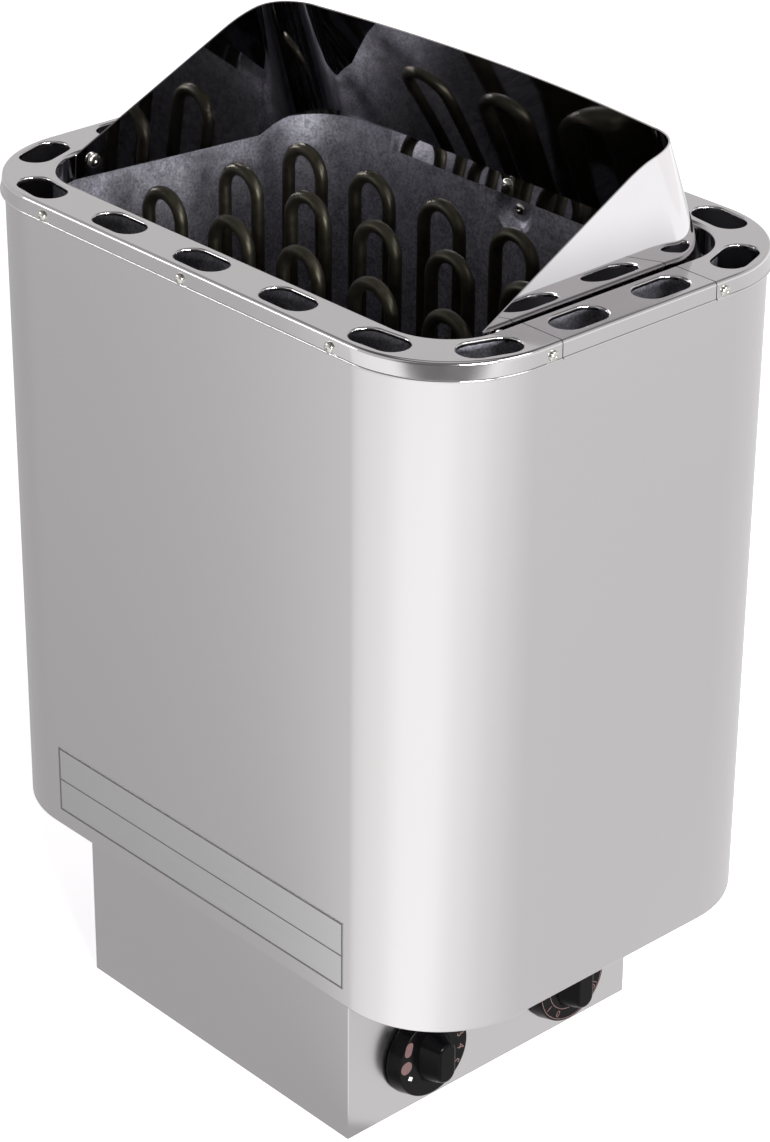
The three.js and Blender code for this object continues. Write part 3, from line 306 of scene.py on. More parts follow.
def add_node(tree, kind, inputs=None, **settings):
    """Adds a node, sets it up and links or sets its inputs"""
    node = tree.nodes.new(kind)
    for name, value in settings.items():
        setattr(node, name, value)
    for socket, value in (inputs or {}).items():
        if isinstance(value, bpy.types.NodeSocket):
            tree.links.new(value, node.inputs[socket])
        else:
            node.inputs[socket].default_value = value
    return node


def new_finish(name, **sockets):
    """A material with its shader's plain sockets set"""
    material = bpy.data.materials.new(name)
    material.use_nodes = True
    shader = material.node_tree.nodes["Principled BSDF"]
    for socket, value in sockets.items():
        shader.inputs[socket.replace("_", " ")].default_value = value
    return material, material.node_tree, shader


def grain(tree, across, along):
    """Noise drawn out along the sheet: its spacing across and its length along, in metres"""
    where = add_node(tree, "ShaderNodeTexCoord")
    stretched = add_node(tree, "ShaderNodeMapping", {
        "Vector": where.outputs["Object"],
        "Scale": (1 / along, 1 / along, 1 / across),
    })
    noise = add_node(tree, "ShaderNodeTexNoise", {
        "Vector": stretched.outputs["Vector"], "Scale": 1.0, "Detail": GRAIN_DETAIL,
    })
    return noise.outputs["Fac"]


def mottle(tree, spacing, detail=3.0):
    """Even noise with its spacing in metres"""
    where = add_node(tree, "ShaderNodeTexCoord")
    noise = add_node(tree, "ShaderNodeTexNoise", {
        "Vector": where.outputs["Object"], "Scale": 1 / spacing, "Detail": detail,
    })
    return noise.outputs["Fac"]


def roughness_from(tree, shader, noise, low, high):
    rough = add_node(tree, "ShaderNodeMapRange", {
        "Value": noise, "From Min": NOISE_LOW, "From Max": NOISE_HIGH, "To Min": low, "To Max": high,
    })
    tree.links.new(rough.outputs["Result"], shader.inputs["Roughness"])


def bump_from(tree, shader, noise, depth, strength):
    bump = add_node(tree, "ShaderNodeBump", {"Height": noise, "Distance": depth, "Strength": strength})
    tree.links.new(bump.outputs["Normal"], shader.inputs["Normal"])


def colour_between(tree, shader, noise, first, second):
    mix = add_node(tree, "ShaderNodeMix", {
        "Factor": noise, FIRST_COLOUR: first, SECOND_COLOUR: second,
    }, data_type="RGBA")
    tree.links.new(mix.outputs[MIXED_COLOUR], shader.inputs["Base Color"])


def colour_from(tree, shader, noise, tone, share):
    """Colour between a darker share of a tone and the tone itself"""
    dark = [channel * share for channel in tone[:3]]
    colour_between(tree, shader, noise, (*dark, 1.0), tone)


def satin_stainless(finishes):
    # Cold-rolled stainless sheet with a satin finish: broad soft reflections without an image, a shade of
    # cloudiness from the rolls, and rolling lines round the body. Their real spacing of about 0.1 mm would
    # not show, so they are drawn 1.4 mm apart.
    material, tree, shader = new_finish("Rolled satin stainless steel", Metallic=1.0)
    lines = grain(tree, across=0.0014, along=0.16)
    clouds = mottle(tree, spacing=0.19)
    colour_from(tree, shader, clouds, finishes.satin, share=0.975)
    roughness_from(tree, shader, lines, low=0.245, high=0.265)
    bump_from(tree, shader, lines, depth=0.000004, strength=0.02)
    return material


def polished_stainless(finishes):
    # Buffed stainless rim: clear but slightly soft reflections, with faint buffing haze 30 mm across.
    material, tree, shader = new_finish("Buffed stainless steel", Metallic=1.0)
    haze = mottle(tree, spacing=0.03)
    colour_from(tree, shader, haze, finishes.polished, share=0.97)
    roughness_from(tree, shader, haze, low=0.10, high=0.15)
    return material


def mirror_stainless(finishes):
    # Mirror-polished stainless sheet: sharp reflections that wander a little, because a thin sheet is
    # never quite flat over some 90 mm, and a haze of polish 20 mm across.
    material, tree, shader = new_finish("Mirror-polished stainless steel", Metallic=1.0)
    waves = mottle(tree, spacing=0.09, detail=1.0)
    haze = mottle(tree, spacing=0.02)
    colour_from(tree, shader, haze, finishes.mirror, share=0.97)
    roughness_from(tree, shader, haze, low=0.02, high=0.045)
    bump_from(tree, shader, waves, depth=0.0009, strength=0.12)
    return material


def galvanised_steel(finishes):
    # Hot-dip galvanised sheet: blue-grey zinc with a powdery speckle 1.6 mm across, over crystals of about
    # 5 mm with wandering edges, which each catch the light a little differently.
    material, tree, shader = new_finish("Hot-dip galvanised steel", Metallic=0.85)
    crystal_size = 0.005
    crystal_share = 0.16
    wander_reach = 0.004
    darkest, palest = 0.38, 0.8
    where = add_node(tree, "ShaderNodeTexCoord")
    wander = mottle(tree, spacing=0.007, detail=2.0).node
    moved = add_node(tree, "ShaderNodeVectorMath", {
        0: wander.outputs["Color"], 1: (wander_reach, wander_reach, wander_reach),
    }, operation="MULTIPLY")
    crystals_at = add_node(tree, "ShaderNodeVectorMath", {
        0: where.outputs["Object"], 1: moved.outputs["Vector"],
    }, operation="ADD")
    crystals = add_node(tree, "ShaderNodeTexVoronoi", {
        "Vector": crystals_at.outputs["Vector"], "Scale": 1 / crystal_size,
    })
    crystal = add_node(tree, "ShaderNodeSeparateColor", {"Color": crystals.outputs["Color"]})
    speckle = mottle(tree, spacing=0.0016)
    blend = add_node(tree, "ShaderNodeMath", {
        0: crystal.outputs["Red"], 1: crystal_share, 2: speckle,
    }, operation="MULTIPLY_ADD")
    shade = add_node(tree, "ShaderNodeMapRange", {
        "Value": blend.outputs["Value"], "From Min": darkest, "From Max": palest,
    })
    colour_between(tree, shader, shade.outputs["Result"], finishes.zinc_dark, finishes.zinc)
    roughness_from(tree, shader, crystal.outputs["Green"], low=0.48, high=0.56)
    bump_from(tree, shader, speckle, depth=0.0002, strength=0.3)
    return material


def element_steel(finishes):
    # Drawn alloy tube, darkened by heat to olive brown: a dull metal sheen with patches of scale 5 mm across
    # and draw lines 1.2 mm apart along the legs of the tube.
    material, tree, shader = new_finish("Heat-darkened alloy tube", Metallic=0.75)
    scale = mottle(tree, spacing=0.005)
    draw_lines = grain(tree, across=0.05, along=0.0012)
    colour_between(tree, shader, scale, finishes.element_dark, finishes.element)
    roughness_from(tree, shader, scale, low=0.34, high=0.5)
    bump_from(tree, shader, draw_lines, depth=0.0001, strength=0.12)
    return material


def nickel_plate(finishes):
    # Nickel plating: bright and slightly warm, with plating haze 2 mm across.
    material, tree, shader = new_finish("Nickel-plated steel", Metallic=1.0)
    haze = mottle(tree, spacing=0.002)
    colour_from(tree, shader, haze, finishes.nickel, share=0.85)
    roughness_from(tree, shader, haze, low=0.16, high=0.26)
    return material


def moulded_plastic(name, tone, low, high, pit, gloss=0.5):
    # Moulded plastic: even colour that varies a little with the flow over 12 mm, a sheen that varies with the
    # mould's surface, and a fine texture of the given pit size.
    material, tree, shader = new_finish(name, IOR=1.5, Specular_IOR_Level=gloss)
    flow = mottle(tree, spacing=0.012)
    pits = mottle(tree, spacing=pit)
    colour_from(tree, shader, flow, tone, share=0.82)
    roughness_from(tree, shader, pits, low, high)
    bump_from(tree, shader, pits, depth=0.00006, strength=0.2)
    return material


def fired_ceramic(finishes):
    # Fired steatite: an off-white matt body with faint mottling 3 mm across.
    material, tree, shader = new_finish("Fired steatite", IOR=1.6)
    body = mottle(tree, spacing=0.003)
    colour_from(tree, shader, body, finishes.ceramic, share=0.9)
    roughness_from(tree, shader, body, low=0.38, high=0.5)
    return material


def drawn_copper(finishes):
    # Drawn copper capillary: warm metal, dulled in patches 4 mm across.
    material, tree, shader = new_finish("Drawn copper", Metallic=1.0)
    patches = mottle(tree, spacing=0.004)
    colour_from(tree, shader, patches, finishes.copper, share=0.7)
    roughness_from(tree, shader, patches, low=0.25, high=0.4)
    return material


def printed_ink(name, tone):
    # Printed ink: flat and matt, with the small unevenness of a print, 0.8 mm across.
    material, tree, shader = new_finish(name, IOR=1.45)
    cover = mottle(tree, spacing=0.0008)
    colour_from(tree, shader, cover, tone, share=0.86)
    roughness_from(tree, shader, cover, low=0.42, high=0.55)
    return material


def plate_foil(finishes):
    # Anodised aluminium foil: a matt metal sheet, paler than the steel under it, with grain 1.2 mm apart.
    material, tree, shader = new_finish("Matt anodised aluminium foil", Metallic=1.0)
    lines = grain(tree, across=0.0012, along=0.05)
    colour_from(tree, shader, lines, finishes.foil, share=0.95)
    roughness_from(tree, shader, lines, low=0.34, high=0.4)
    return material


FINISHES = {}


def make_finishes(finishes):
    """All finishes of the heater, by the record's slot or by their use"""
    FINISHES.update({
        "satin_stainless": satin_stainless(finishes),
        "polished_stainless": polished_stainless(finishes),
        "mirror_stainless": mirror_stainless(finishes),
        "galvanised_steel": galvanised_steel(finishes),
        "element_steel": element_steel(finishes),
        "nickel_brass": nickel_plate(finishes),
        "black_plastic": moulded_plastic(
            "Moulded black phenolic", finishes.black, low=0.14, high=0.22, pit=0.0012, gloss=0.1
        ),
        "grey_plastic": moulded_plastic(
            "Moulded grey polyamide", finishes.grey, low=0.45, high=0.6, pit=0.0009
        ),
        "red_plastic": moulded_plastic(
            "Moulded red polyamide", finishes.red, low=0.35, high=0.45, pit=0.0009
        ),
        "ceramic": fired_ceramic(finishes),
        "copper": drawn_copper(finishes),
        "rose_ink": printed_ink("Pad-printed rose ink", finishes.rose_ink),
        "white_ink": printed_ink("Pad-printed white ink", finishes.white_ink),
        "foil": plate_foil(finishes),
        "line_ink": printed_ink("Screen-printed grey ink", finishes.line),
    })


def on_circle(radius, turn):
    """A flat point on a circle about the origin"""
    return radius * math.cos(turn), radius * math.sin(turn)


def rectangle(left, right, bottom, top):
    """Corners of a rectangle, anticlockwise from the lower left"""
    return [(left, bottom), (right, bottom), (right, top), (left, top)]


def rounded_loop(half_x, half_y, corner, centre_y=CENTRE_Y, steps=CORNER_STEPS):
    """A round-cornered outline, anticlockwise from above; its back run follows point number steps"""
    points = []
    for quarter, (side_x, side_y) in enumerate(((1, 1), (-1, 1), (-1, -1), (1, -1))):
        for step in range(steps + 1):
            x, y = on_circle(corner, math.pi / 2 * (quarter + step / steps))
            points.append((side_x * (half_x - corner) + x, centre_y + side_y * (half_y - corner) + y))
    return points


def oblong_loop(size, width, grow=0.0):
    """A slot's outline with round ends, its length along the first axis"""
    radius = width / 2 + grow
    reach = (size - width) / 2
    points = []
    for side, start in ((1, -math.pi / 2), (-1, math.pi / 2)):
        for step in range(HOLE_STEPS + 1):
            x, y = on_circle(radius, start + math.pi * step / HOLE_STEPS)
            points.append((side * reach + x, y))
    return points


def spread(number, pitch):
    """Even places about a middle"""
    return [(index - (number - 1) / 2) * pitch for index in range(number)]


def section_arc(across, height, radius, start, end):
    """A bend in a section, as offsets and heights, between two angles in degrees"""
    points = []
    for step in range(BEND_STEPS + 1):
        out, up = on_circle(radius, math.radians(start + (end - start) * step / BEND_STEPS))
        points.append((across + out, height + up))
    return points


def add_loop(form, points):
    return [form.verts.new(point) for point in points]


def add_strip(form, first, second, closed=True, skip=()):
    """Faces between two rows of points"""
    number = len(first)
    for index in range(number if closed else number - 1):
        if index in skip:
            continue
        after = (index + 1) % number
        form.faces.new((first[index], first[after], second[after], second[index]))


def add_rows(form, rows, closed=True):
    """Faces over a list of rows of points"""
    made = [add_loop(form, row) for row in rows]
    for first, second in zip(made, made[1:]):
        add_strip(form, first, second, closed)
    return made


def wall_corners(low, high, number):
    """Corners of the flat wall between two rows of points, after a numbered point"""
    return [low[number], low[number + 1], high[number + 1], high[number]]


def lies_inside(point, outline):
    """Whether a flat point lies inside an outline"""
    inside = False
    for first, second in zip(outline, outline[1:] + outline[:1]):
        if (first.y > point.y) != (second.y > point.y):
            share = (point.y - first.y) / (second.y - first.y)
            if point.x < first.x + share * (second.x - first.x):
                inside = not inside
    return inside


def fill_flat(form, loops, axes="xy"):
    """Faces over a flat outline, its first loop, with the other loops left open"""
    outlines = []
    edges = []
    for loop in loops:
        start = sum(len(outline) for outline in outlines)
        edges += [(start + index, start + (index + 1) % len(loop)) for index in range(len(loop))]
        outlines.append([Vector([getattr(vertex.co, axis) for axis in axes]) for vertex in loop])
    vertices = [vertex for loop in loops for vertex in loop]
    flat = [point for outline in outlines for point in outline]
    faces = delaunay_2d_cdt(flat, edges, [], INSIDE_OUTLINES, MERGE_DISTANCE)[2]
    for face in faces:
        middle = sum((flat[corner] for corner in face), Vector((0.0, 0.0))) / len(face)
        if not any(lies_inside(middle, hole) for hole in outlines[1:]):
            form.faces.new([vertices[corner] for corner in face])


def sweep_section(form, section, loop_at, skip=None):
    """Carries a section of offsets and heights round a loop"""
    rings = [add_loop(form, [(x, y, height) for x, y in loop_at(offset)]) for offset, height in section]
    for number, (first, second) in enumerate(zip(rings, rings[1:])):
        add_strip(form, first, second, skip=(skip or {}).get(number, ()))
    return rings


def axes_at(origin, along):
    """A matrix whose third axis runs along a direction and whose second is the nearest to upright"""
    third = Vector(along).normalized()
    first = Vector((0.0, 0.0, 1.0)).cross(third).normalized()
    second = third.cross(first)
    return Matrix.Translation(origin) @ Matrix((first, second, third)).transposed().to_4x4()


def turn_profile(form, profile, axes, sides):
    """Turns a profile of radii and heights about the third of the axes"""
    rings = []
    for radius, height in profile:
        points = [(0.0, 0.0)]
        if radius > MERGE_DISTANCE:
            points = [on_circle(radius, 2 * math.pi * side / sides) for side in range(sides)]
        rings.append(add_loop(form, [axes @ Vector((x, y, height)) for x, y in points]))
    for first, second in zip(rings, rings[1:]):
        if len(first) == 1 or len(second) == 1:
            pole, ring = (first[0], second) if len(first) == 1 else (second[0], first)
            for index, vertex in enumerate(ring):
                form.faces.new((pole, vertex, ring[(index + 1) % len(ring)]))
        else:
            add_strip(form, first, second)
    return rings


def dome_profile(radius, height, drive):
    """A pan head from its seat to a conical drive recess"""
    profile = [(radius, 0.0), (radius, height * HEAD_EDGE)]
    for step in range(1, DOME_STEPS + 1):
        turn = math.pi / 2 * step / DOME_STEPS
        rim = drive + (radius - drive) * math.cos(turn)
        profile.append((rim, height * (HEAD_EDGE + (1 - HEAD_EDGE) * math.sin(turn))))
    profile.append((0.0, height * DRIVE_FLOOR))
    return profile


def finish_piece(name, form, finish, body="heater", nodes=()):
    """Makes the piece's object, smooths it, gives it its finish and seats it on its body"""
    bmesh.ops.remove_doubles(form, verts=form.verts, dist=MERGE_DISTANCE)
    bmesh.ops.recalc_face_normals(form, faces=form.faces)
    data = bpy.data.meshes.new(name)
    form.to_mesh(data)
    form.free()
    data.shade_smooth()
    data.set_sharp_from_angle(angle=SHARP_ANGLE)
    data.materials.append(FINISHES[finish])
    piece = bpy.data.objects.new(name, data)
    bpy.context.scene.collection.objects.link(piece)
    even = piece.modifiers.new("Even shading", "WEIGHTED_NORMAL")
    even.keep_sharp = True
    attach(piece, body)
    if nodes:
        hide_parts(*nodes)


class HEATER_OT_jacket(bpy.types.Operator):
    """Wrap the jacket, fold in its lower lip and cut the slots for the hooks"""

    bl_idname = "heater.jacket"
    bl_label = "Jacket"

    def execute(self, context):
        body = context.scene.heater_body
        half_x = (JACKET_HIGH.x - JACKET_LOW.x) / 2
        half_y = (JACKET_HIGH.y - JACKET_LOW.y) / 2
        bottom, top = JACKET_LOW.z, JACKET_HIGH.z
        inset = -(body.sheet + body.lip)
        section = [(inset, bottom + body.sheet), (inset, bottom)]
        section += section_arc(-body.bend, bottom + body.bend, body.bend, -90, 0)
        outer = len(section) - 1
        section += [(0.0, top), (-body.sheet, top), (-body.sheet, bottom + body.sheet)]
        section.append(section[0])
        inner = outer + 2
        form = bmesh.new()
        rings = sweep_section(
            form,
            section,
            lambda offset: rounded_loop(half_x + offset, half_y + offset, body.corner + offset),
            skip={outer: (CORNER_STEPS,), inner: (CORNER_STEPS,)},
        )
        slots = []
        for number in (outer, inner):
            low, high = rings[number], rings[number + 1]
            y = low[CORNER_STEPS].co.y
            loops = [add_loop(form, self.slot_corners(body, x, y)) for x in spread(2, body.slot_spacing)]
            fill_flat(form, [wall_corners(low, high, CORNER_STEPS), *loops], "xz")
            slots.append(loops)
        for outside, inside in zip(*slots):
            add_strip(form, outside, inside)
        finish_piece("jacket_sheet", form, "satin_stainless", nodes=("outer_jacket",))
        return {"FINISHED"}

    @staticmethod
    def slot_corners(body, x, y):
        half = body.slot_width / 2
        outline = rectangle(x - half, x + half, body.slot_top - body.slot_height, body.slot_top)
        return [(across, y, height) for across, height in outline]


def on_rim_line(along, straight, out, radius):
    """A place on the rim's middle line, straight along a side and then round its corner"""
    beyond = math.copysign(max(abs(along) - straight, 0.0), along)
    turn = beyond / radius
    return along - beyond + radius * math.sin(turn), out - radius * (1 - math.cos(turn)), turn


def air_hole_axes(rim, opening_x, opening_y):
    """Middle and direction of every air hole in the rim"""
    half = rim.width / 2
    radius = rim.corner + half
    places = []
    for along in spread(rim.front_holes, rim.front_pitch):
        run, out, turn = on_rim_line(along, opening_x - rim.corner, opening_y + half, radius)
        places += [(run, CENTRE_Y - out, turn), (run, CENTRE_Y + out, -turn)]
    for along in spread(rim.side_holes, rim.side_pitch):
        run, out, turn = on_rim_line(along, opening_y - rim.corner, opening_x + half, radius)
        places += [(out, CENTRE_Y + run, math.pi / 2 + turn), (-out, CENTRE_Y + run, math.pi / 2 - turn)]
    return [Matrix.Translation((x, y, RIM_HIGH.z)) @ Matrix.Rotation(turn, 4, "Z") for x, y, turn in places]


def rim_form(rim, sheet):
    """The whole rim before it is parted: flange, top with drawn air holes, and skirt"""
    half_x = (RIM_HIGH.x - RIM_LOW.x) / 2 - rim.width
    half_y = (RIM_HIGH.y - RIM_LOW.y) / 2 - rim.width
    top, bottom = RIM_HIGH.z, RIM_LOW.z
    bend = rim.bend
    form = bmesh.new()

    def loop_at(offset, tighter=0.0):
        return rounded_loop(half_x + offset, half_y + offset, rim.corner + offset - tighter)

    shoulder, foot = top - bend, top - rim.skirt
    flange = [(sheet, shoulder), (sheet, bottom), (0.0, bottom)]
    flange += section_arc(bend, shoulder, bend, 180, 90)
    skirt = section_arc(rim.width - bend, shoulder, bend, 90, 0)
    skirt += section_arc(rim.width, foot + rim.hem, rim.hem, 80, -90)
    skirt += [(rim.width - sheet, foot), (rim.width - sheet, shoulder)]
    skirt_rows = []
    for offset, height in skirt:
        tighter = rim.flare * min(max(shoulder - height, 0.0) / (shoulder - foot), 1.0)
        skirt_rows.append([(x, y, height) for x, y in loop_at(offset, tighter)])
    inner = sweep_section(form, flange, loop_at)[-1]
    outer = add_rows(form, skirt_rows)[0]
    lip = section_arc(rim.hole_lip, -rim.hole_lip, rim.hole_lip, 90, 180)
    lip.append((0.0, -rim.hole_lip - rim.hole_wall))
    mouths = []
    for axes in air_hole_axes(rim, half_x, half_y):
        rows = []
        for grow, height in lip:
            outline = oblong_loop(rim.hole_length, rim.hole_width, grow)
            rows.append([axes @ Vector((a, b, height)) for a, b in outline])
        mouths.append(add_rows(form, rows)[0])
    fill_flat(form, [outer, inner, *mouths])
    return form


class HEATER_OT_rim(bpy.types.Operator):
    """Fold the rim, draw its air holes and part the piece over the knobs"""

    bl_idname = "heater.rim"
    bl_label = "Rim"

    def execute(self, context):
        scene = context.scene
        rim = scene.heater_rim
        sheet = scene.heater_body.sheet
        half = rim.segment / 2
        segment = self.parted(rim_form(rim, sheet), half - rim.seam)
        self.remove(segment, lambda x, y: x < 0 or abs(y) > half - rim.seam)
        finish_piece("rim_piece_over_knobs", segment, "polished_stainless", nodes=("rim_segment",))
        whole = self.parted(rim_form(rim, sheet), half)
        self.remove(whole, lambda x, y: x > 0 and abs(y) < half)
        finish_piece("rim_ring", whole, "polished_stainless", nodes=("rim_frame",))
        return {"FINISHED"}

    @staticmethod
    def parted(form, half):
        """Cuts the right-hand run of the rim across at both seams"""
        for side in (1, -1):
            faces = [face for face in form.faces if face.calc_center_median().x > 0]
            edges = {edge for face in faces for edge in face.edges}
            vertices = {vertex for face in faces for vertex in face.verts}
            bmesh.ops.bisect_plane(
                form,
                geom=[*vertices, *edges, *faces],
                plane_co=(0, CENTRE_Y + side * half, 0),
                plane_no=(0, 1, 0),
            )
        return form

    @staticmethod
    def remove(form, unwanted):
        gone = []
        for face in form.faces:
            middle = face.calc_center_median()
            if unwanted(middle.x, middle.y - CENTRE_Y):
                gone.append(face)
        bmesh.ops.delete(form, geom=gone, context="FACES")


class HEATER_OT_deflector(bpy.types.Operator):
    """Bend the mirror-polished steam deflector and lean it over the stones"""

    bl_idname = "heater.deflector"
    bl_label = "Steam deflector"

    SIDE_STEPS = 22
    BEND_STEPS = 22
    BACK_STEPS = 14
    ROWS = 8
    # Share of the sheet's thickness by which the edges of the tab are softened
    SOFT_EDGE = 0.3

    def execute(self, context):
        scene = context.scene
        sheet = scene.heater_body.sheet
        rim = scene.heater_rim
        size = scene.heater_deflector
        self.rim_top = RIM_HIGH.z
        self.bottom = self.rim_top - size.drop
        self.top = self.rim_top + size.rise
        self.half = RIM_HIGH.x - rim.width - size.side_gap - sheet / 2
        self.back = (RIM_HIGH.y - RIM_LOW.y) / 2 - rim.width - size.back_gap - sheet / 2
        self.tip = JACKET_LOW.y - CENTRE_Y + size.tip
        stations = self.half_outline(size)
        for foot, top, lift in reversed(stations[:-1]):
            stations.append(((-foot[0], foot[1]), (-top[0], top[1]), lift))
        columns = [self.column(size, *station) for station in stations]
        form = bmesh.new()
        outside = self.skin(columns, sheet / 2)
        inside = self.skin(columns, -sheet / 2)
        outer = add_rows(form, outside, closed=False)
        inner = add_rows(form, inside, closed=False)
        add_strip(form, outer[0], inner[0], closed=False)
        add_strip(form, outer[-1], inner[-1], closed=False)
        for end in (0, -1):
            add_strip(form, [row[end] for row in outer], [row[end] for row in inner], closed=False)
        self.add_tab(form, size, sheet)
        finish_piece("deflector_sheet", form, "mirror_stainless", nodes=("steam_deflector",))
        return {"FINISHED"}

    def half_outline(self, size):
        """Foot and top of the sheet's right half in plan, and the lift of its foot, from tip to middle"""
        top_half = self.half - size.side_lean
        foot_run = self.half - size.base_corner
        top_run = top_half - size.top_corner
        foot_bend = self.back - size.base_corner
        top_back = self.back - size.back_lean
        top_bend = top_back - size.top_corner
        relief_start = foot_bend - size.relief
        stations = []
        for step in range(self.SIDE_STEPS):
            y = self.tip + (top_bend - self.tip) * step / self.SIDE_STEPS
            lift = -size.dip * (y - self.tip) / (relief_start - self.tip)
            stations.append(((self.half, y), (top_half, y), lift))
        stations.append(((self.half, relief_start), (top_half, top_bend), -size.dip))
        for step in range(self.BEND_STEPS):
            turn = math.pi / 2 * step / self.BEND_STEPS
            foot, top = (
                (run + radius * math.cos(turn), start + radius * math.sin(turn))
                for run, start, radius in (
                    (foot_run, foot_bend, size.base_corner), (top_run, top_bend, size.top_corner)
                )
            )
            stations.append((foot, top, self.foot_lift(size, size.relief + size.base_corner * turn)))
        for step in range(self.BACK_STEPS + 1):
            out = 1 - step / self.BACK_STEPS
            bow = size.bow * (1 - out * out)
            stations.append(((foot_run * out, self.back), (top_run * out, top_back + bow), size.back_lift))
        return stations

    @staticmethod
    def foot_lift(size, past):
        """Lift of the foot past the end of a side, where it rises in a relief round the bend"""
        share = past / (size.relief + size.base_corner * math.pi / 2)
        return (size.dip + size.back_lift) * share * (2 - share) - size.dip

    def add_tab(self, form, size, sheet):
        """The tab under the back, turned down and a little forwards, with softened edges"""
        half = size.tab_width / 2
        soft = sheet * self.SOFT_EDGE
        fold = Matrix.Translation((0.0, CENTRE_Y + self.back, self.bottom + size.back_lift))
        axes = fold @ Matrix.Rotation(-size.tab_tilt, 4, "X")
        rows = []
        for y, inset in ((sheet / 2, 0.0), (soft - sheet / 2, 0.0), (-sheet / 2, soft)):
            low, side = inset - size.tab_depth, half - inset
            corners = rectangle(-side, side, low, sheet / 2)
            rows.append([axes @ Vector((x, y, z)) for x, z in corners])
        made = add_rows(form, rows)
        form.faces.new(made[0])
        form.faces.new(made[-1])

    def edge_height(self, size, y):
        """Height of the upper edge: the rake from the tip, blended into the level top"""
        rake = self.rim_top + (y - self.tip) * math.tan(size.rake)
        nearness = max(1 - abs(rake - self.top) / size.blend, 0)
        return min(rake, self.top) - size.blend * nearness ** 2 / 4

    def column(self, size, base, top, lift):
        """Points up the sheet from its foot to its edge"""
        height = self.edge_height(size, top[1])
        bottom = self.bottom + lift
        share = (height - bottom) / (self.top - bottom)
        foot = Vector((base[0], CENTRE_Y + base[1], bottom))
        full = Vector((top[0], CENTRE_Y + top[1], self.top))
        return [foot.lerp(full, share * row / self.ROWS) for row in range(self.ROWS + 1)]

    def skin(self, columns, offset):
        """One face of the sheet, moved out from its middle"""
        last = len(columns) - 1
        moved = []
        for index, column in enumerate(columns):
            before, after = columns[max(index - 1, 0)], columns[min(index + 1, last)]
            rise = column[-1] - column[0]
            shifted = []
            for row, point in enumerate(column):
                normal = (after[row] - before[row]).cross(rise).normalized()
                shifted.append(point + normal * offset)
            moved.append(shifted)
        return [list(row) for row in zip(*moved)]


class HEATER_OT_chamber(bpy.types.Operator):
    """Wrap the galvanised stone chamber, with its lapped seam and the dent in its back wall"""

    bl_idname = "heater.chamber"
    bl_label = "Stone chamber"

    INNER_STRIP = 0
    OUTER_STRIP = 2
    DENT_SIDES = 48
    DENT_STEPS = 10
    LAP_STEP = 0.0007
    SCREW_RADIUS = 0.0042
    SCREW_HEIGHT = 0.0026
    SCREW_DRIVE = 0.0013

    def execute(self, context):
        body = context.scene.heater_body
        rim = context.scene.heater_rim
        low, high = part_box("stone_chamber")
        half_x = (high.x - low.x) / 2 - body.sheet
        round_rim = half_x - (RIM_HIGH.x - rim.width)
        half_y = RIM_HIGH.y - CENTRE_Y - rim.width + round_rim
        wall_y = CENTRE_Y + half_y
        inner, outer = self.INNER_STRIP, self.OUTER_STRIP
        form = bmesh.new()

        def loop_at(offset):
            return rounded_loop(half_x + offset, half_y + offset, rim.corner + round_rim + offset)

        section = [(0.0, low.z + body.sheet), (0.0, high.z), (body.sheet, high.z), (body.sheet, low.z)]
        section += [(-body.chamber_foot, low.z), (-body.chamber_foot, low.z + body.sheet), section[0]]
        skip = {inner: (CORNER_STEPS,), outer: (CORNER_STEPS,)}
        rings = sweep_section(form, section, loop_at, skip)
        self.dent_skin(form, body, wall_y, rings[inner], rings[inner + 1])
        self.dent_skin(form, body, wall_y + body.sheet, rings[outer + 1], rings[outer])
        finish_piece("chamber_sheet", form, "galvanised_steel", nodes=("stone_chamber",))
        self.lap_seam(body, wall_y, low.z, high.z)
        self.set_screw(body, wall_y)
        return {"FINISHED"}

    def dent_skin(self, form, body, wall_y, low_ring, high_ring):
        """One skin of the back wall, with the dent pressed towards the jacket"""
        axes = axes_at((body.dimple_place, wall_y, body.dimple_height), (0, 1, 0))
        profile = []
        for step in range(self.DENT_STEPS + 1):
            share = step / self.DENT_STEPS
            radius = body.dimple_width / 2 + (body.dimple_floor - body.dimple_width) / 2 * share
            profile.append((radius, body.dimple_depth * share * share * (3 - 2 * share)))
        profile.append((0.0, body.dimple_depth))
        dent = turn_profile(form, profile, axes, self.DENT_SIDES)
        fill_flat(form, [wall_corners(low_ring, high_ring, CORNER_STEPS), dent[0]], "xz")

    def lap_seam(self, body, wall_y, bottom, top):
        left, width = body.lap_left, body.lap_width
        raised = wall_y - self.LAP_STEP
        foot = [(left, wall_y), (left, raised), (left + width / 2, raised), (left + width, wall_y)]
        form = bmesh.new()
        rows = add_rows(form, [[(x, y, height) for x, y in foot] for height in (bottom, top)], closed=False)
        form.faces.new(rows[1])
        finish_piece("chamber_lap", form, "galvanised_steel")

    def set_screw(self, body, wall_y):
        floor = (body.dimple_place, wall_y + body.dimple_depth, body.dimple_height)
        profile = dome_profile(self.SCREW_RADIUS, self.SCREW_HEIGHT, self.SCREW_DRIVE)
        form = bmesh.new()
        turn_profile(form, profile, axes_at(floor, (0, -1, 0)), SCREW_SIDES)
        finish_piece("chamber_screw", form, "nickel_brass")


def bent_route(corners, radius, steps):
    """Points along straight runs joined by round bends"""
    route = [Vector(corners[0])]
    for before, corner, after in zip(corners, corners[1:], corners[2:]):
        into = (Vector(corner) - Vector(before)).normalized()
        out = (Vector(after) - Vector(corner)).normalized()
        turn = into.angle(out)
        start = Vector(corner) - into * radius * math.tan(turn / 2)
        side = (out - into * into.dot(out)).normalized()
        for step in range(steps + 1):
            bend = turn * step / steps
            point = start + into * radius * math.sin(bend) + side * radius * (1 - math.cos(bend))
            if (point - route[-1]).length > SHORTEST_STEP:
                route.append(point)
    route.append(Vector(corners[-1]))
    return route


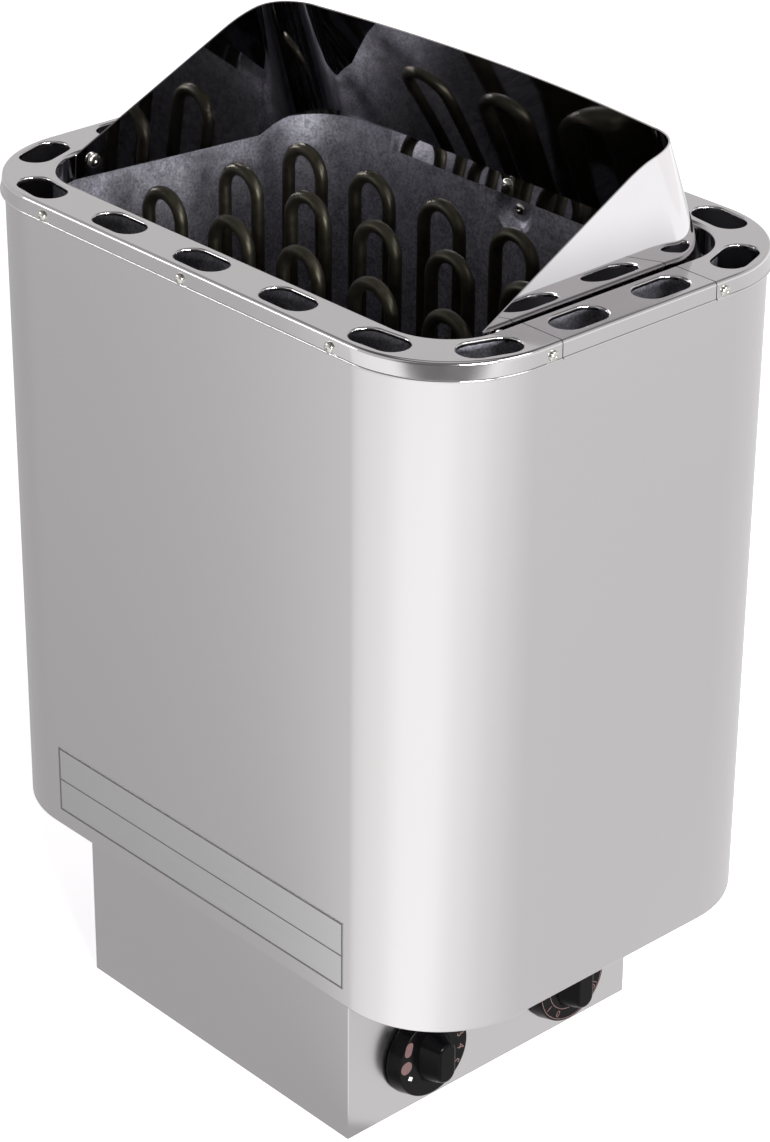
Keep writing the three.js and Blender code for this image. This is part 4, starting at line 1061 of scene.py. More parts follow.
def add_tube(form, route, radius, across, sides):
    """A round tube along a flat route; across is the direction square to its plane"""
    across = Vector(across)
    rows = []
    last = len(route) - 1
    for index, point in enumerate(route):
        along = (route[min(index + 1, last)] - route[max(index - 1, 0)]).normalized()
        side = along.cross(across)
        ring = []
        for number in range(sides):
            turn = 2 * math.pi * number / sides
            ring.append(point + side * radius * math.cos(turn) + across * radius * math.sin(turn))
        rows.append(ring)
    made = add_rows(form, rows)
    form.faces.new(made[0])
    form.faces.new(made[-1])


class HEATER_OT_elements(bpy.types.Operator):
    """Bend the heating elements, each one tube in hairpins between its two terminals"""

    bl_idname = "heater.elements"
    bl_label = "Heating elements"

    TUBE_SIDES = 16
    TUBE_STEPS = 9

    def execute(self, context):
        size = context.scene.heater_elements
        for row in ("front", "middle", "back"):
            node = f"heating_element_{row}"
            low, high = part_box(node)
            y = (low.y + high.y) / 2
            form = bmesh.new()
            legs = 2 * size.loops
            pitch = 2 * size.reach / (legs - 1)
            route = bent_route(self.corners(size, y, pitch), pitch / 2, self.TUBE_STEPS)
            add_tube(form, route, size.diameter / 2, (0, 1, 0), self.TUBE_SIDES)
            finish_piece(f"element_tube_{row}", form, "element_steel", nodes=(node,))
        return {"FINISHED"}

    @staticmethod
    def corners(size, y, pitch):
        top = RIM_HIGH.z - size.top_drop
        run = size.run_height
        lower = run + size.loop_rise
        corners = [(-size.terminal, size.terminal_foot), (-size.terminal, run), (-size.reach, run)]
        for loop in range(size.loops):
            left = -size.reach + 2 * loop * pitch
            right = left + pitch
            if loop > 0:
                corners.append((left, lower))
            corners += [(left, top), (right, top)]
            if loop < size.loops - 1:
                corners.append((right, lower))
        corners += [(size.reach, run), (size.terminal, run), (size.terminal, size.terminal_foot)]
        return [(x, y, z) for x, z in corners]


class HEATER_OT_control_box(bpy.types.Operator):
    """Fold the shell of the control box"""

    bl_idname = "heater.control_box"
    bl_label = "Control box"

    COVER_GAP = 0.0003
    LEAST_BEND = 0.0001

    def execute(self, context):
        body = context.scene.heater_body
        low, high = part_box("box_shell")
        half_x = (high.x - low.x) / 2
        half_y = (high.y - low.y) / 2
        centre_y = (high.y + low.y) / 2
        inset = -(body.sheet + body.box_flange)
        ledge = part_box("bottom_cover")[1].z + self.COVER_GAP

        def loop_at(offset):
            bend = max(body.box_bend + offset, self.LEAST_BEND)
            return rounded_loop(half_x + offset, half_y + offset, bend, centre_y, BEND_STEPS)

        section = [(inset, ledge + body.sheet), (inset, ledge), (-body.sheet, ledge), (-body.sheet, low.z)]
        section += [(0.0, low.z), (0.0, high.z - body.sheet)]
        section += section_arc(-body.sheet, high.z - body.sheet, body.sheet, 0, 90)
        section.append((inset, high.z))
        form = bmesh.new()
        sweep_section(form, section, loop_at)
        finish_piece("control_box_shell", form, "satin_stainless", nodes=("box_shell",))
        return {"FINISHED"}


def add_figures(form, text, height, thickness, axes):
    """Printed figures, laid on the plane of the axes"""
    curve = bpy.data.curves.new("figures", "FONT")
    curve.body = text
    curve.size = height * FIGURE_SCALE
    curve.align_x = "CENTER"
    curve.align_y = "CENTER"
    curve.extrude = thickness / 2
    lettering = bpy.data.objects.new("figures", curve)
    bpy.context.scene.collection.objects.link(lettering)
    graph = bpy.context.evaluated_depsgraph_get()
    data = bpy.data.meshes.new_from_object(lettering.evaluated_get(graph))
    data.transform(axes @ Matrix.Translation((0, 0, thickness / 2)))
    form.from_mesh(data)
    bpy.data.objects.remove(lettering)
    bpy.data.curves.remove(curve)
    bpy.data.meshes.remove(data)


def add_patch(form, outline, thickness, axes):
    """A thin flat patch of print with its own edge"""
    low = add_loop(form, [axes @ Vector((u, v, 0.0)) for u, v in outline])
    high = add_loop(form, [axes @ Vector((u, v, thickness)) for u, v in outline])
    add_strip(form, low, high)
    form.faces.new(high)


class HEATER_OT_knobs(bpy.types.Operator):
    """Mould the timer and thermostat knobs and print their dials"""

    bl_idname = "heater.knobs"
    bl_label = "Knobs"

    SIDES = 96
    ROUND_STEPS = 5
    # Marks of the timer: their sizes, places on the face and leans, and where the hours stand, in degrees
    DOT_SIDES = 32
    DOT_RADIUS = 0.0043
    DOT_PLACE = (-0.0218, 0.0004, 0.0)
    CAPSULE_LENGTH = 0.0098
    CAPSULE_WIDTH = 0.0056
    CAPSULE_PLACE = (-0.0200, 0.0126, 0.0)
    CAPSULE_LEAN = -14
    TICK_LENGTH = 0.0032
    TICK_WIDTH = 0.0024
    TICK_PLACE = (-0.0186, -0.0086, 0.0)
    TICK_LEAN = -35
    HOURS = (62, 38, 14, -10, -34, -58)
    # Marks of the thermostat: where its figures stand, their share of a full figure, and its two circles
    STEPS = (240, 213, 186, 159, 132, 105, 78, 51, 24, -3, -30, -57)
    SMALL_FIGURE = 0.8
    CIRCLE_SIDES = 72
    CIRCLE_LINE = 0.0005
    CIRCLE_OFFSETS = (0.0033, -0.0036)

    def execute(self, context):
        size = context.scene.heater_controls
        for name, print_dial in (("timer", self.print_timer), ("thermostat", self.print_thermostat)):
            low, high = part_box(f"{name}_knob")
            axes = axes_at((low.x, (low.y + high.y) / 2, (low.z + high.z) / 2), (1, 0, 0))
            form = bmesh.new()
            self.add_disc(form, size, (high.y - low.y) / 2, axes)
            self.add_grip(form, size, high.x - low.x, axes)
            body = f"{name}_dial"
            finish_piece(f"{name}_knob_moulding", form, "black_plastic", body, nodes=(f"{name}_knob",))
            print_dial(size, axes @ Matrix.Translation((0, 0, size.disc)), body)
        return {"FINISHED"}

    def add_disc(self, form, size, radius, axes):
        foot = radius - size.knob_inset
        face = foot - size.taper
        small = size.rounding
        profile = [(0.0, 0.0), (foot - small, 0.0), *section_arc(foot - small, small, small, -45, 0)]
        profile += section_arc(face - small, size.disc - small, small, 10, 90)
        profile.append((0.0, size.disc))
        turn_profile(form, profile, axes, self.SIDES)

    def add_grip(self, form, size, height, axes):
        rows = [self.grip_row(size, size.grip_draft, size.disc - size.rounding)]
        rows.append(self.grip_row(size, 0.0, height - size.grip_round))
        for step in range(1, self.ROUND_STEPS + 1):
            turn = math.pi / 2 * step / self.ROUND_STEPS
            grow = size.grip_round * (math.cos(turn) - 1)
            rows.append(self.grip_row(size, grow, height - size.grip_round * (1 - math.sin(turn))))
        made = add_rows(form, [[axes @ Vector(point) for point in row] for row in rows])
        form.faces.new(made[-1])

    @staticmethod
    def grip_row(size, grow, height):
        return [(-b, a, height) for a, b in oblong_loop(size.grip_length, size.grip_width, grow)]

    @staticmethod
    def leaning(place, degrees):
        return Matrix.Translation(place) @ Matrix.Rotation(math.radians(degrees), 4, "Z")

    @staticmethod
    def print_figures(form, size, height, face, turns, first):
        """Figures counted up round the ring of print, each upright on its own radius"""
        for number, degrees in enumerate(turns, start=first):
            turn = math.radians(degrees)
            spot = Matrix.Translation((*on_circle(size.print_radius, turn), 0.0))
            upright = Matrix.Rotation(turn - math.pi / 2, 4, "Z")
            add_figures(form, str(number), height, size.ink, face @ spot @ upright)

    def print_timer(self, size, face, body):
        """A dot, a capsule and a tick beside the grip, and hours round the far side"""
        rose = bmesh.new()
        sides = self.DOT_SIDES
        dot = [on_circle(self.DOT_RADIUS, 2 * math.pi * side / sides) for side in range(sides)]
        add_patch(rose, dot, size.ink, face @ Matrix.Translation(self.DOT_PLACE))
        capsule = [(-b, a) for a, b in oblong_loop(self.CAPSULE_LENGTH, self.CAPSULE_WIDTH)]
        add_patch(rose, capsule, size.ink, face @ self.leaning(self.CAPSULE_PLACE, self.CAPSULE_LEAN))
        self.print_figures(rose, size, size.figure, face, self.HOURS, first=1)
        finish_piece("timer_dial_print", rose, "rose_ink", body)
        white = bmesh.new()
        half, wide = self.TICK_LENGTH / 2, self.TICK_WIDTH / 2
        tick = rectangle(-half, half, -wide, wide)
        add_patch(white, tick, size.ink, face @ self.leaning(self.TICK_PLACE, self.TICK_LEAN))
        finish_piece("timer_dial_tick", white, "white_ink", body)

    def print_thermostat(self, size, face, body):
        """A ring of figures between two thin circles"""
        rose = bmesh.new()
        self.print_figures(rose, size, size.figure * self.SMALL_FIGURE, face, self.STEPS, first=0)
        for offset in self.CIRCLE_OFFSETS:
            near = size.print_radius + offset
            far = near + self.CIRCLE_LINE
            profile = [(near, 0.0), (near, size.ink), (far, size.ink), (far, 0.0)]
            turn_profile(rose, profile, face, self.CIRCLE_SIDES)
        finish_piece("thermostat_dial_print", rose, "rose_ink", body)


class HEATER_OT_plate(bpy.types.Operator):
    """Lay the bare foil plate on the front of the jacket, with its border and divider"""

    bl_idname = "heater.plate"
    bl_label = "Bare plate"

    def execute(self, context):
        size = context.scene.heater_controls
        face = axes_at((0.0, JACKET_LOW.y, 0.0), (0, -1, 0))
        left, right = size.plate_left, size.plate_right
        bottom, top = size.plate_bottom, size.plate_top
        foil = bmesh.new()
        add_patch(foil, rectangle(left, right, bottom, top), size.plate_foil, face)
        finish_piece("bare_plate", foil, "foil")
        lines = bmesh.new()
        on_foil = face @ Matrix.Translation((0, 0, size.plate_foil))
        middle = (bottom + top) / 2
        wide = size.plate_line
        thin = wide / 3
        for sides in (
            (left, right, bottom, bottom + wide),
            (left, right, top - wide, top),
            (left, left + wide, bottom + wide, top - wide),
            (right - wide, right, bottom + wide, top - wide),
            (left + wide, right - wide, middle - thin, middle + thin),
        ):
            add_patch(lines, rectangle(*sides), size.ink, on_foil)
        finish_piece("bare_plate_lines", lines, "line_ink")
        return {"FINISHED"}


class HEATER_OT_screws(bpy.types.Operator):
    """Set the small screws of the rim's skirt and of the deflector"""

    bl_idname = "heater.screws"
    bl_label = "Screws"

    FRONT_PLACES = (-0.122, 0.0, 0.122)
    SIDE_PLACES = (-0.065, 0.065)
    # How far down the skirt and the tab their screws sit, as shares of the skirt's and the tab's height
    SKIRT_DROP = 0.62
    TAB_DROP = 0.45
    # Height and drive of a small head, as shares of its diameter
    SMALL_HEIGHT = 0.32
    SMALL_DRIVE = 0.16
    # A deflector screw: shares of the head's radius, of the whole length and of the shank's radius
    HEAD_DEPTH = 0.54
    HEAD_DRIVE = 0.3
    SHANK = 0.44
    COLLAR = 0.88
    COLLAR_START = 0.38
    COLLAR_END = 0.55
    TIP_LENGTH = 0.3
    TIP_RADIUS = 0.7

    def execute(self, context):
        scene = context.scene
        head = scene.heater_controls.screw
        height = RIM_HIGH.z - scene.heater_rim.skirt * self.SKIRT_DROP
        profile = dome_profile(head / 2, head * self.SMALL_HEIGHT, head * self.SMALL_DRIVE)
        form = bmesh.new()
        for x in self.FRONT_PLACES:
            for y, facing in ((RIM_LOW.y, -1), (RIM_HIGH.y, 1)):
                turn_profile(form, profile, axes_at((x, y, height), (0, facing, 0)), SCREW_SIDES)
        for y in self.SIDE_PLACES:
            seat = axes_at((RIM_HIGH.x, CENTRE_Y + y, height), (1, 0, 0))
            turn_profile(form, profile, seat, SCREW_SIDES)
        finish_piece("skirt_screws", form, "nickel_brass")
        for name, side in (("left", -1), ("right", 1)):
            self.deflector_screw(name, side)
        self.tab_screw(scene, profile)
        return {"FINISHED"}

    def tab_screw(self, scene, profile):
        size = scene.heater_deflector
        y = RIM_HIGH.y - scene.heater_rim.width - size.back_gap - 2 * scene.heater_body.sheet
        height = RIM_HIGH.z - size.drop + size.back_lift - size.tab_depth * self.TAB_DROP
        facing = (0, -math.cos(size.tab_tilt), math.sin(size.tab_tilt))
        form = bmesh.new()
        turn_profile(form, profile, axes_at((0.0, y, height), facing), SCREW_SIDES)
        finish_piece("tab_screw", form, "nickel_brass")

    def deflector_screw(self, name, side):
        node = f"deflector_screw_{name}"
        low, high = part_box(node)
        start = low.x if side > 0 else high.x
        axes = axes_at((start, (low.y + high.y) / 2, (low.z + high.z) / 2), (side, 0, 0))
        span = high.x - low.x
        head = (high.z - low.z) / 2
        depth = head * self.HEAD_DEPTH
        shank = head * self.SHANK
        collar = head * self.COLLAR
        near, far = span * self.COLLAR_START, span * self.COLLAR_END
        dome = dome_profile(head, depth, head * self.HEAD_DRIVE)
        profile = [(radius, depth - height) for radius, height in reversed(dome)]
        profile += [(shank, depth), (shank, near), (collar, near), (collar, far), (shank, far)]
        profile += [(shank, span - shank * self.TIP_LENGTH), (shank * self.TIP_RADIUS, span), (0.0, span)]
        form = bmesh.new()
        turn_profile(form, profile, axes, SCREW_SIDES)
        finish_piece(f"{node}_turned", form, "nickel_brass", nodes=(node,))


class HEATER_OT_wall_side(bpy.types.Operator):
    """Fold the wall bracket and mould the cable gland"""

    bl_idname = "heater.wall_side"
    bl_label = "Wall bracket and gland"

    PLAY = 0.0003
    SHEET = 0.002
    BEND = 0.003
    BACK_RUN = BEND_STEPS + 1
    SLOT_LENGTH = 0.014
    SLOT_WIDTH = 0.006
    SLOT_SPACING_X = 0.110
    SLOT_SPACING_Z = 0.180
    HOOK_WIDTH = 0.024
    HOOK_LIP = 0.016
    # The gland's thread, nut and cap: radii and lengths
    GLAND_SIDES = 48
    NUT_SIDES = 6
    BORE = 0.0065
    THREAD = 0.010
    NUT_BORE = 0.009
    NUT_LENGTH = 0.007
    CAP = 0.013
    CAP_FOOT = 0.0006
    CAP_SHOULDER = 0.007
    CAP_ROUNDING = 0.005
    ROUNDING_DEPTH = 0.0055
    CHAMFER = 0.0008
    BEVEL = 0.0012
    FLUTE_DEPTH = 0.0006
    FLUTE_PITCH = 4
    FLUTE_WIDTH = 2

    def execute(self, context):
        self.fold_bracket(context.scene.heater_body)
        self.mould_gland()
        return {"FINISHED"}

    def fold_bracket(self, body):
        low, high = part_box("wall_bracket")
        half = (high.x - low.x) / 2
        form = bmesh.new()
        walls = []
        for radius in (self.BEND, self.BEND - self.SHEET):
            outline = self.channel(half, high.y, radius)
            rows = [add_loop(form, [(x, y, height) for x, y in outline]) for height in (low.z, high.z)]
            add_strip(form, *rows, closed=False, skip=(self.BACK_RUN,))
            walls.append(rows)
        for end in (0, 1):
            add_strip(form, walls[0][end], walls[1][end], closed=False)
        for end in (0, -1):
            form.faces.new((walls[0][0][end], walls[0][1][end], walls[1][1][end], walls[1][0][end]))
        slots = [self.cut_slots(form, rows, (low.z + high.z) / 2) for rows in walls]
        for outer, inner in zip(*slots):
            add_strip(form, outer, inner)
        arm = body.slot_top - self.SHEET - self.PLAY
        for x in spread(2, body.slot_spacing):
            self.add_hook(form, x, low.y, high.y - self.SHEET, arm)
        finish_piece("bracket_sheet", form, "galvanised_steel", nodes=("wall_bracket",))

    def channel(self, half, back, radius):
        """One face of the bracket in plan: two side walls and a back, joined by round bends"""
        front = JACKET_HIGH.y + self.PLAY
        bend = [on_circle(radius, math.pi / 2 * step / BEND_STEPS) for step in range(BEND_STEPS + 1)]
        centre_x, centre_y = half - self.BEND, back - self.BEND
        outline = [(-centre_x - radius, front)]
        outline += [(-centre_x - x, centre_y + y) for x, y in bend]
        outline += [(centre_x + x, centre_y + y) for x, y in reversed(bend)]
        outline.append((centre_x + radius, front))
        return outline

    def cut_slots(self, form, rows, middle):
        """Fills one face of the bracket's back round its screw slots"""
        y = rows[0][self.BACK_RUN].co.y
        outline = oblong_loop(self.SLOT_LENGTH, self.SLOT_WIDTH)
        loops = []
        for x in spread(2, self.SLOT_SPACING_X):
            for z in spread(2, self.SLOT_SPACING_Z):
                loops.append(add_loop(form, [(x - b, y, middle + z + a) for a, b in outline]))
        fill_flat(form, [wall_corners(*rows, self.BACK_RUN), *loops], "xz")
        return loops

    def add_hook(self, form, x, front, back, z):
        """An arm with an upturned lip, as one bent strip"""
        side = [(back, z), (front, z), (front, z + self.HOOK_LIP), (front + self.SHEET, z + self.HOOK_LIP)]
        side += [(front + self.SHEET, z + self.SHEET), (back, z + self.SHEET)]
        half = self.HOOK_WIDTH / 2
        rows = add_rows(form, [[(end, y, height) for y, height in side] for end in (x - half, x + half)])
        form.faces.new(rows[0])
        form.faces.new(rows[1])

    def mould_gland(self):
        low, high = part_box("cable_gland")
        axes = axes_at((0.0, low.y, (low.z + high.z) / 2), (0, 1, 0))
        span = high.y - low.y
        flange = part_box("box_shell")[1].y - low.y + self.PLAY
        nut = flange + self.NUT_LENGTH
        bore, cap_radius = self.BORE, self.CAP
        form = bmesh.new()
        thread = [(bore, 0.0), (self.THREAD - self.CHAMFER, 0.0)]
        thread += [(self.THREAD, self.CHAMFER), (self.THREAD, flange)]
        turn_profile(form, thread, axes, self.GLAND_SIDES)
        cap = [(cap_radius - self.CAP_FOOT, nut), (cap_radius, nut + self.CHAMFER)]
        cap.append((cap_radius, span - self.CAP_SHOULDER))
        rounding = self.CAP_ROUNDING
        cap += section_arc(cap_radius - rounding, span - self.ROUNDING_DEPTH, rounding, 0, 80)
        cap += [(bore + self.BEVEL, span), (bore, span - self.BEVEL), (bore, 0.0)]
        self.flute(turn_profile(form, cap, axes, self.GLAND_SIDES), axes.translation)
        corner = (high.z - low.z) / 2 / math.cos(math.pi / self.NUT_SIDES)
        hexagon = [(self.NUT_BORE, flange), (corner - self.BEVEL, flange), (corner, flange + self.CHAMFER)]
        hexagon += [(corner, nut - self.CHAMFER), (corner - self.BEVEL, nut), (self.NUT_BORE, nut)]
        turn_profile(form, hexagon, axes, self.NUT_SIDES)
        finish_piece("gland_moulding", form, "black_plastic", nodes=("cable_gland",))

    def flute(self, rings, centre):
        """Finger flutes along the straight part of the gland's cap"""
        for ring in rings[1:3]:
            for index, vertex in enumerate(ring):
                if index % self.FLUTE_PITCH < self.FLUTE_WIDTH:
                    away = Vector((vertex.co.x - centre.x, 0.0, vertex.co.z - centre.z)).normalized()
                    vertex.co -= away * self.FLUTE_DEPTH


class HEATER_OT_carried_over(bpy.types.Operator):
    """Give the remaining CAD pieces the finishes of their slots"""

    bl_idname = "heater.carried_over"
    bl_label = "Inner pieces"

    def execute(self, context):
        slots = {row["node"]: row["material_slot"] for row in frame["record"]["subparts"]}
        for name, node in frame["nodes"].items():
            node.data.materials.clear()
            node.data.materials.append(FINISHES[slots[name]])
        return {"FINISHED"}


class HEATER_OT_stage(bpy.types.Operator):
    """Lay the floor, set the light and place the camera"""

    bl_idname = "heater.stage"
    bl_label = "Stage"

    # Brightness of the reflector card round the heater: turns from the front towards the knobs, in degrees
    CARD = (
        (-180, 0.88), (-140, 0.88), (-115, 0.55), (-74, 0.55), (-60, 0.59), (-51, 0.60),
        (-44, 1.10), (-14, 1.22), (16, 1.47), (44, 1.47), (70, 1.22),
        (100, 1.02), (128, 0.89), (140, 0.83), (158, 0.88), (180, 0.88),
    )
    CARD_SIDES = 128
    CARD_HEIGHT = -0.0012
    # Width of the card's far part, how wide it fades in, and how far the card's middle lies beyond the box
    CARD_MARGIN = 0.62
    CARD_FADE = 0.34
    CARD_BEYOND = 0.03
    FLOOR_SIDES = 64
    FLOOR_HEIGHT = -0.0006
    PAPER_GLOW = 0.72
    # Where each part of the studio's light fades in, on the direction or the height that it goes by
    FADES = {
        "surround": (-0.2, 0.75),
        "sky": (-0.06, 0.3),
        "zenith": (0.52, 0.8),
        "ceiling": (0.9, 0.96),
        "lens_side": (0.62, 0.86),
    }
    BEHIND_KNOBS = (0.78, 0.62, 0.0)
    SKY_TINT = "#FFFDFD"
    # Middle and size of each softbox
    KEY = ((1.72, -0.58, 0.86), (0.8, 0.23))
    SIDE = ((1.70, 0.62, 1.80), (0.9, 0.7))
    EDGE = ((-1.5, -1.7, 0.8), (0.9, 0.3))
    CLIP_END = 100.0

    def execute(self, context):
        scene = context.scene
        stage = scene.heater_stage
        scene.view_settings.view_transform = "Standard"
        paper = self.lay_floor(scene, stage)
        self.hang_backdrop(scene, stage, paper)
        self.lay_card(scene, stage)
        self.light_world(scene, stage)
        self.hang_softbox(scene, "key_softbox", stage.key, *self.KEY)
        self.hang_softbox(scene, "side_softbox", stage.side, *self.SIDE)
        edge = self.hang_softbox(scene, "edge_softbox", stage.edge, *self.EDGE)
        self.hide_from(edge, "diffuse")
        self.place_camera(scene, stage)
        return {"FINISHED"}

    @staticmethod
    def stand_on_stage(scene, name, form):
        data = bpy.data.meshes.new(name)
        form.to_mesh(data)
        form.free()
        piece = bpy.data.objects.new(name, data)
        scene.collection.objects.link(piece)
        return piece

    def flat_disc(self, scene, name, radius, height, sides):
        form = bmesh.new()
        bmesh.ops.create_circle(form, cap_ends=True, segments=sides, radius=radius)
        bmesh.ops.translate(form, verts=form.verts, vec=(0.0, 0.0, height))
        return self.stand_on_stage(scene, name, form)

    @staticmethod
    def hide_from(piece, *rays):
        for ray in rays:
            setattr(piece, f"visible_{ray}", False)

    def lay_floor(self, scene, stage):
        floor = self.flat_disc(
            scene, "studio_floor", stage.floor_size / 2, self.FLOOR_HEIGHT, self.FLOOR_SIDES
        )
        # Seamless studio paper: matt, near white, with a fibre mottle 3 mm across.
        tone = scene.heater_finishes.floor
        material, tree, shader = new_finish(
            "Matt studio paper", Roughness=0.9, Emission_Color=tone, Emission_Strength=self.PAPER_GLOW
        )
        fibre = mottle(tree, spacing=0.003)
        colour_from(tree, shader, fibre, tone, share=0.985)
        floor.data.materials.append(material)
        self.hide_from(floor, "glossy")
        return material

    def hang_backdrop(self, scene, stage, paper):
        radius = stage.floor_size / 2
        form = bmesh.new()
        bmesh.ops.create_cone(
            form,
            cap_ends=False,
            segments=self.FLOOR_SIDES,
            radius1=radius,
            radius2=radius,
            depth=stage.backdrop,
        )
        middle = (0.0, 0.0, stage.backdrop / 2 + self.FLOOR_HEIGHT)
        bmesh.ops.translate(form, verts=form.verts, vec=middle)
        wall = self.stand_on_stage(scene, "studio_backdrop", form)
        wall.data.materials.append(paper)
        self.hide_from(wall, "diffuse", "glossy", "shadow", "transmission")

    def lay_card(self, scene, stage):
        reach = stage.card_radius + self.CARD_MARGIN
        card = self.flat_disc(scene, "reflector_card", reach, self.CARD_HEIGHT, self.CARD_SIDES)
        material = bpy.data.materials.new("Lit reflector card")
        material.use_nodes = True
        tree = material.node_tree
        tree.nodes.clear()
        box_low, box_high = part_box("box_shell")
        where = add_node(tree, "ShaderNodeTexCoord")
        around = add_node(tree, "ShaderNodeVectorMath", {
            0: where.outputs["Object"], 1: (box_high.x + self.CARD_BEYOND, box_low.y, 0.0),
        }, operation="SUBTRACT")
        parts = add_node(tree, "ShaderNodeSeparateXYZ", {0: around.outputs["Vector"]})
        ahead = add_node(tree, "ShaderNodeMath", {0: parts.outputs["Y"], 1: -1.0}, operation="MULTIPLY")
        turn = add_node(tree, "ShaderNodeMath", {
            0: parts.outputs["X"], 1: ahead.outputs["Value"],
        }, operation="ARCTAN2")
        share = add_node(tree, "ShaderNodeMapRange", {
            "Value": turn.outputs["Value"], "From Min": -math.pi, "From Max": math.pi,
        })
        wheel = add_node(tree, "ShaderNodeValToRGB", {"Fac": share.outputs["Result"]})
        wheel.color_ramp.interpolation = "EASE"
        peak = max(level for degrees, level in self.CARD)
        self.set_stops(wheel.color_ramp.elements, peak)
        away = add_node(tree, "ShaderNodeVectorMath", {0: where.outputs["Object"]}, operation="LENGTH")
        far = add_node(tree, "ShaderNodeMapRange", {
            "Value": away.outputs["Value"],
            "From Min": stage.card_radius,
            "From Max": stage.card_radius + self.CARD_FADE,
        }, interpolation_type="SMOOTHSTEP")
        level = add_node(tree, "ShaderNodeMix", {
            "Factor": far.outputs["Result"],
            FIRST_COLOUR: wheel.outputs["Color"],
            SECOND_COLOUR: self.grey(stage.far / peak),
        }, data_type="RGBA")
        glow = add_node(tree, "ShaderNodeEmission", {
            "Color": level.outputs[MIXED_COLOUR], "Strength": peak,
        })
        out = add_node(tree, "ShaderNodeOutputMaterial", {"Surface": glow.outputs["Emission"]})
        tree.nodes.active = out
        card.data.materials.append(material)
        self.hide_from(card, "camera", "diffuse", "shadow", "transmission")

    @staticmethod
    def grey(level):
        return (level, level, level, 1.0)

    def set_stops(self, stops, peak):
        """Sets the brightness of the card on the stops of its colour ramp, which starts with its two ends"""
        for degrees, level in self.CARD:
            position = (degrees + 180) / 360
            ends = {0.0: stops[0], 1.0: stops[-1]}
            stop = ends[position] if position in ends else stops.new(position)
            stop.color = self.grey(level / peak)

    def light_world(self, scene, stage):
        world = bpy.data.worlds.new("Studio")
        scene.world = world
        world.use_nodes = True
        tree = world.node_tree
        tree.nodes.clear()
        where = add_node(tree, "ShaderNodeTexCoord").outputs["Generated"]
        height = add_node(tree, "ShaderNodeSeparateXYZ", {0: where}).outputs["Z"]
        behind_knobs, behind_lens = (
            add_node(tree, "ShaderNodeVectorMath", {0: where, 1: direction}, operation="DOT_PRODUCT")
            for direction in (self.BEHIND_KNOBS, (math.sin(stage.azimuth), -math.cos(stage.azimuth), 0.0))
        )
        measures = {
            "surround": behind_knobs.outputs["Value"],
            "sky": height,
            "zenith": height,
            "ceiling": height,
            "lens_side": behind_lens.outputs["Value"],
        }
        level = stage.shade
        for name, measure in measures.items():
            start, end = self.FADES[name]
            fade = add_node(tree, "ShaderNodeMapRange", {
                "Value": measure,
                "From Min": start,
                "From Max": end,
                "To Min": level,
                "To Max": getattr(stage, name),
            }, interpolation_type="SMOOTHSTEP")
            level = fade.outputs["Result"]
        sky = add_node(tree, "ShaderNodeBackground", {"Color": linear(self.SKY_TINT), "Strength": level})
        add_node(tree, "ShaderNodeOutputWorld", {"Surface": sky.outputs["Background"]})

    @staticmethod
    def hang_softbox(scene, name, watts, middle, size):
        light = bpy.data.lights.new(name, "AREA")
        light.shape = "RECTANGLE"
        light.size, light.size_y = size
        light.energy = watts
        lamp = bpy.data.objects.new(name, light)
        lamp.location = middle
        aim = Vector((0.0, 0.0, RIM_HIGH.z)) - lamp.location
        lamp.rotation_euler = aim.to_track_quat("-Z", "Y").to_euler()
        scene.collection.objects.link(lamp)
        return lamp

    def place_camera(self, scene, stage):
        turn, lift, roll = stage.azimuth, stage.elevation, stage.roll
        back = Vector((math.sin(turn) * math.cos(lift), -math.cos(turn) * math.cos(lift), math.sin(lift)))
        level = Vector((math.cos(turn), math.sin(turn), 0.0))
        rise = back.cross(level)
        right = math.cos(roll) * level + math.sin(roll) * rise
        up = back.cross(right)
        camera = bpy.data.cameras.new("Photograph")
        camera.sensor_width = SENSOR_WIDTH
        camera.lens = stage.focal_pixels / IMAGE_HEIGHT * SENSOR_WIDTH
        camera.clip_end = self.CLIP_END
        holder = bpy.data.objects.new("camera", camera)
        facing = Matrix((right, up, back)).transposed().to_4x4()
        holder.matrix_world = Matrix.Translation(stage.camera) @ facing
        scene.collection.objects.link(holder)
        scene.camera = holder


PIECES = (
    HEATER_OT_carried_over,
    HEATER_OT_jacket,
    HEATER_OT_rim,
    HEATER_OT_deflector,
    HEATER_OT_chamber,
    HEATER_OT_elements,
    HEATER_OT_control_box,
    HEATER_OT_knobs,
    HEATER_OT_plate,
    HEATER_OT_screws,
    HEATER_OT_wall_side,
    HEATER_OT_stage,
)

GROUPS = {
    "heater_body": HeaterBody,
    "heater_rim": HeaterRim,
    "heater_deflector": HeaterDeflector,
    "heater_elements": HeaterElements,
    "heater_controls": HeaterControls,
    "heater_finishes": HeaterFinishes,
    "heater_stage": HeaterStage,
}


class HEATER_PT_panel(bpy.types.Panel):
    """Lists the pieces of the heater"""

    bl_idname = "HEATER_PT_panel"
    bl_label = "Sauna heater"
    bl_space_type = "VIEW_3D"
    bl_region_type = "UI"
    bl_category = "Heater"

    def draw(self, context):
        for piece in PIECES:
            self.layout.operator(piece.bl_idname)


CLASSES = (*GROUPS.values(), *PIECES, HEATER_PT_panel)


def register():
    for entry in CLASSES:
        bpy.utils.register_class(entry)
    for name, group in GROUPS.items():
        setattr(bpy.types.Scene, name, bpy.props.PointerProperty(type=group))


def unregister():
    for name in GROUPS:
        delattr(bpy.types.Scene, name)
    for entry in reversed(CLASSES):
        bpy.utils.unregister_class(entry)


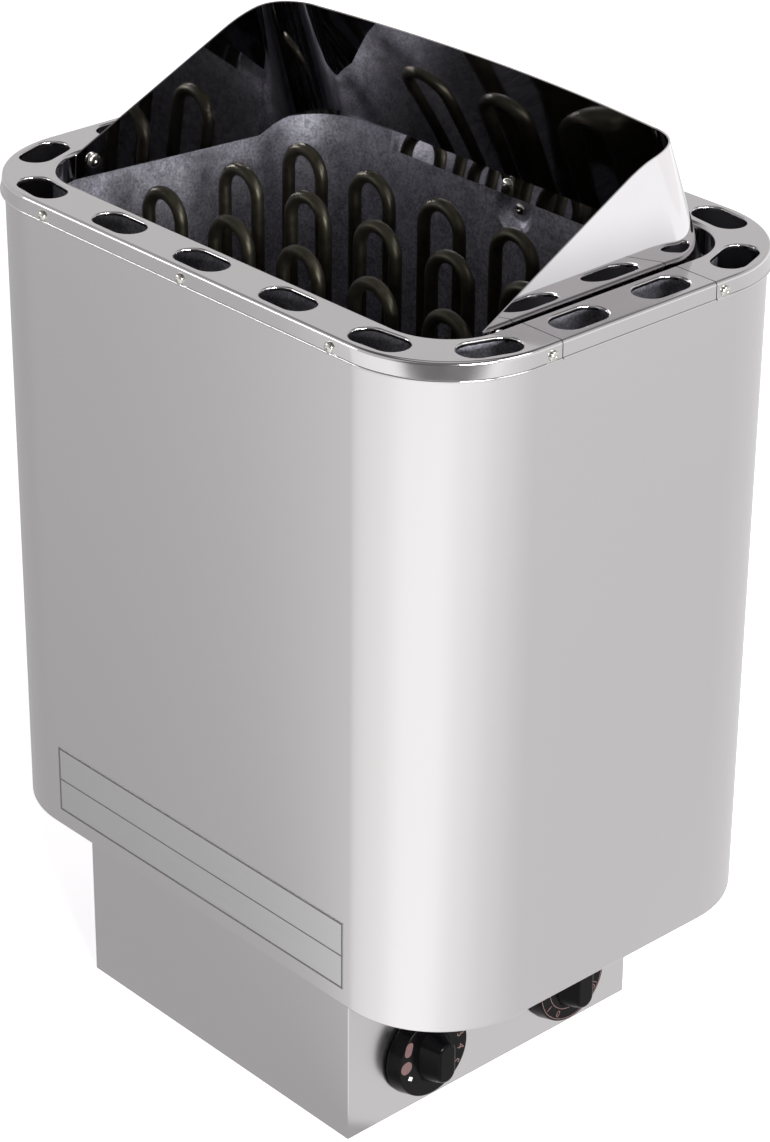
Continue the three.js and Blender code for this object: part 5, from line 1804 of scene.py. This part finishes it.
def main():
    register()
    make_finishes(bpy.context.scene.heater_finishes)
    bpy.ops.heater.carried_over()
    bpy.ops.heater.jacket()
    bpy.ops.heater.rim()
    bpy.ops.heater.deflector()
    bpy.ops.heater.chamber()
    bpy.ops.heater.elements()
    bpy.ops.heater.control_box()
    bpy.ops.heater.knobs()
    bpy.ops.heater.plate()
    bpy.ops.heater.screws()
    bpy.ops.heater.wall_side()
    bpy.ops.heater.stage()


if __name__ == "__main__":
    main()
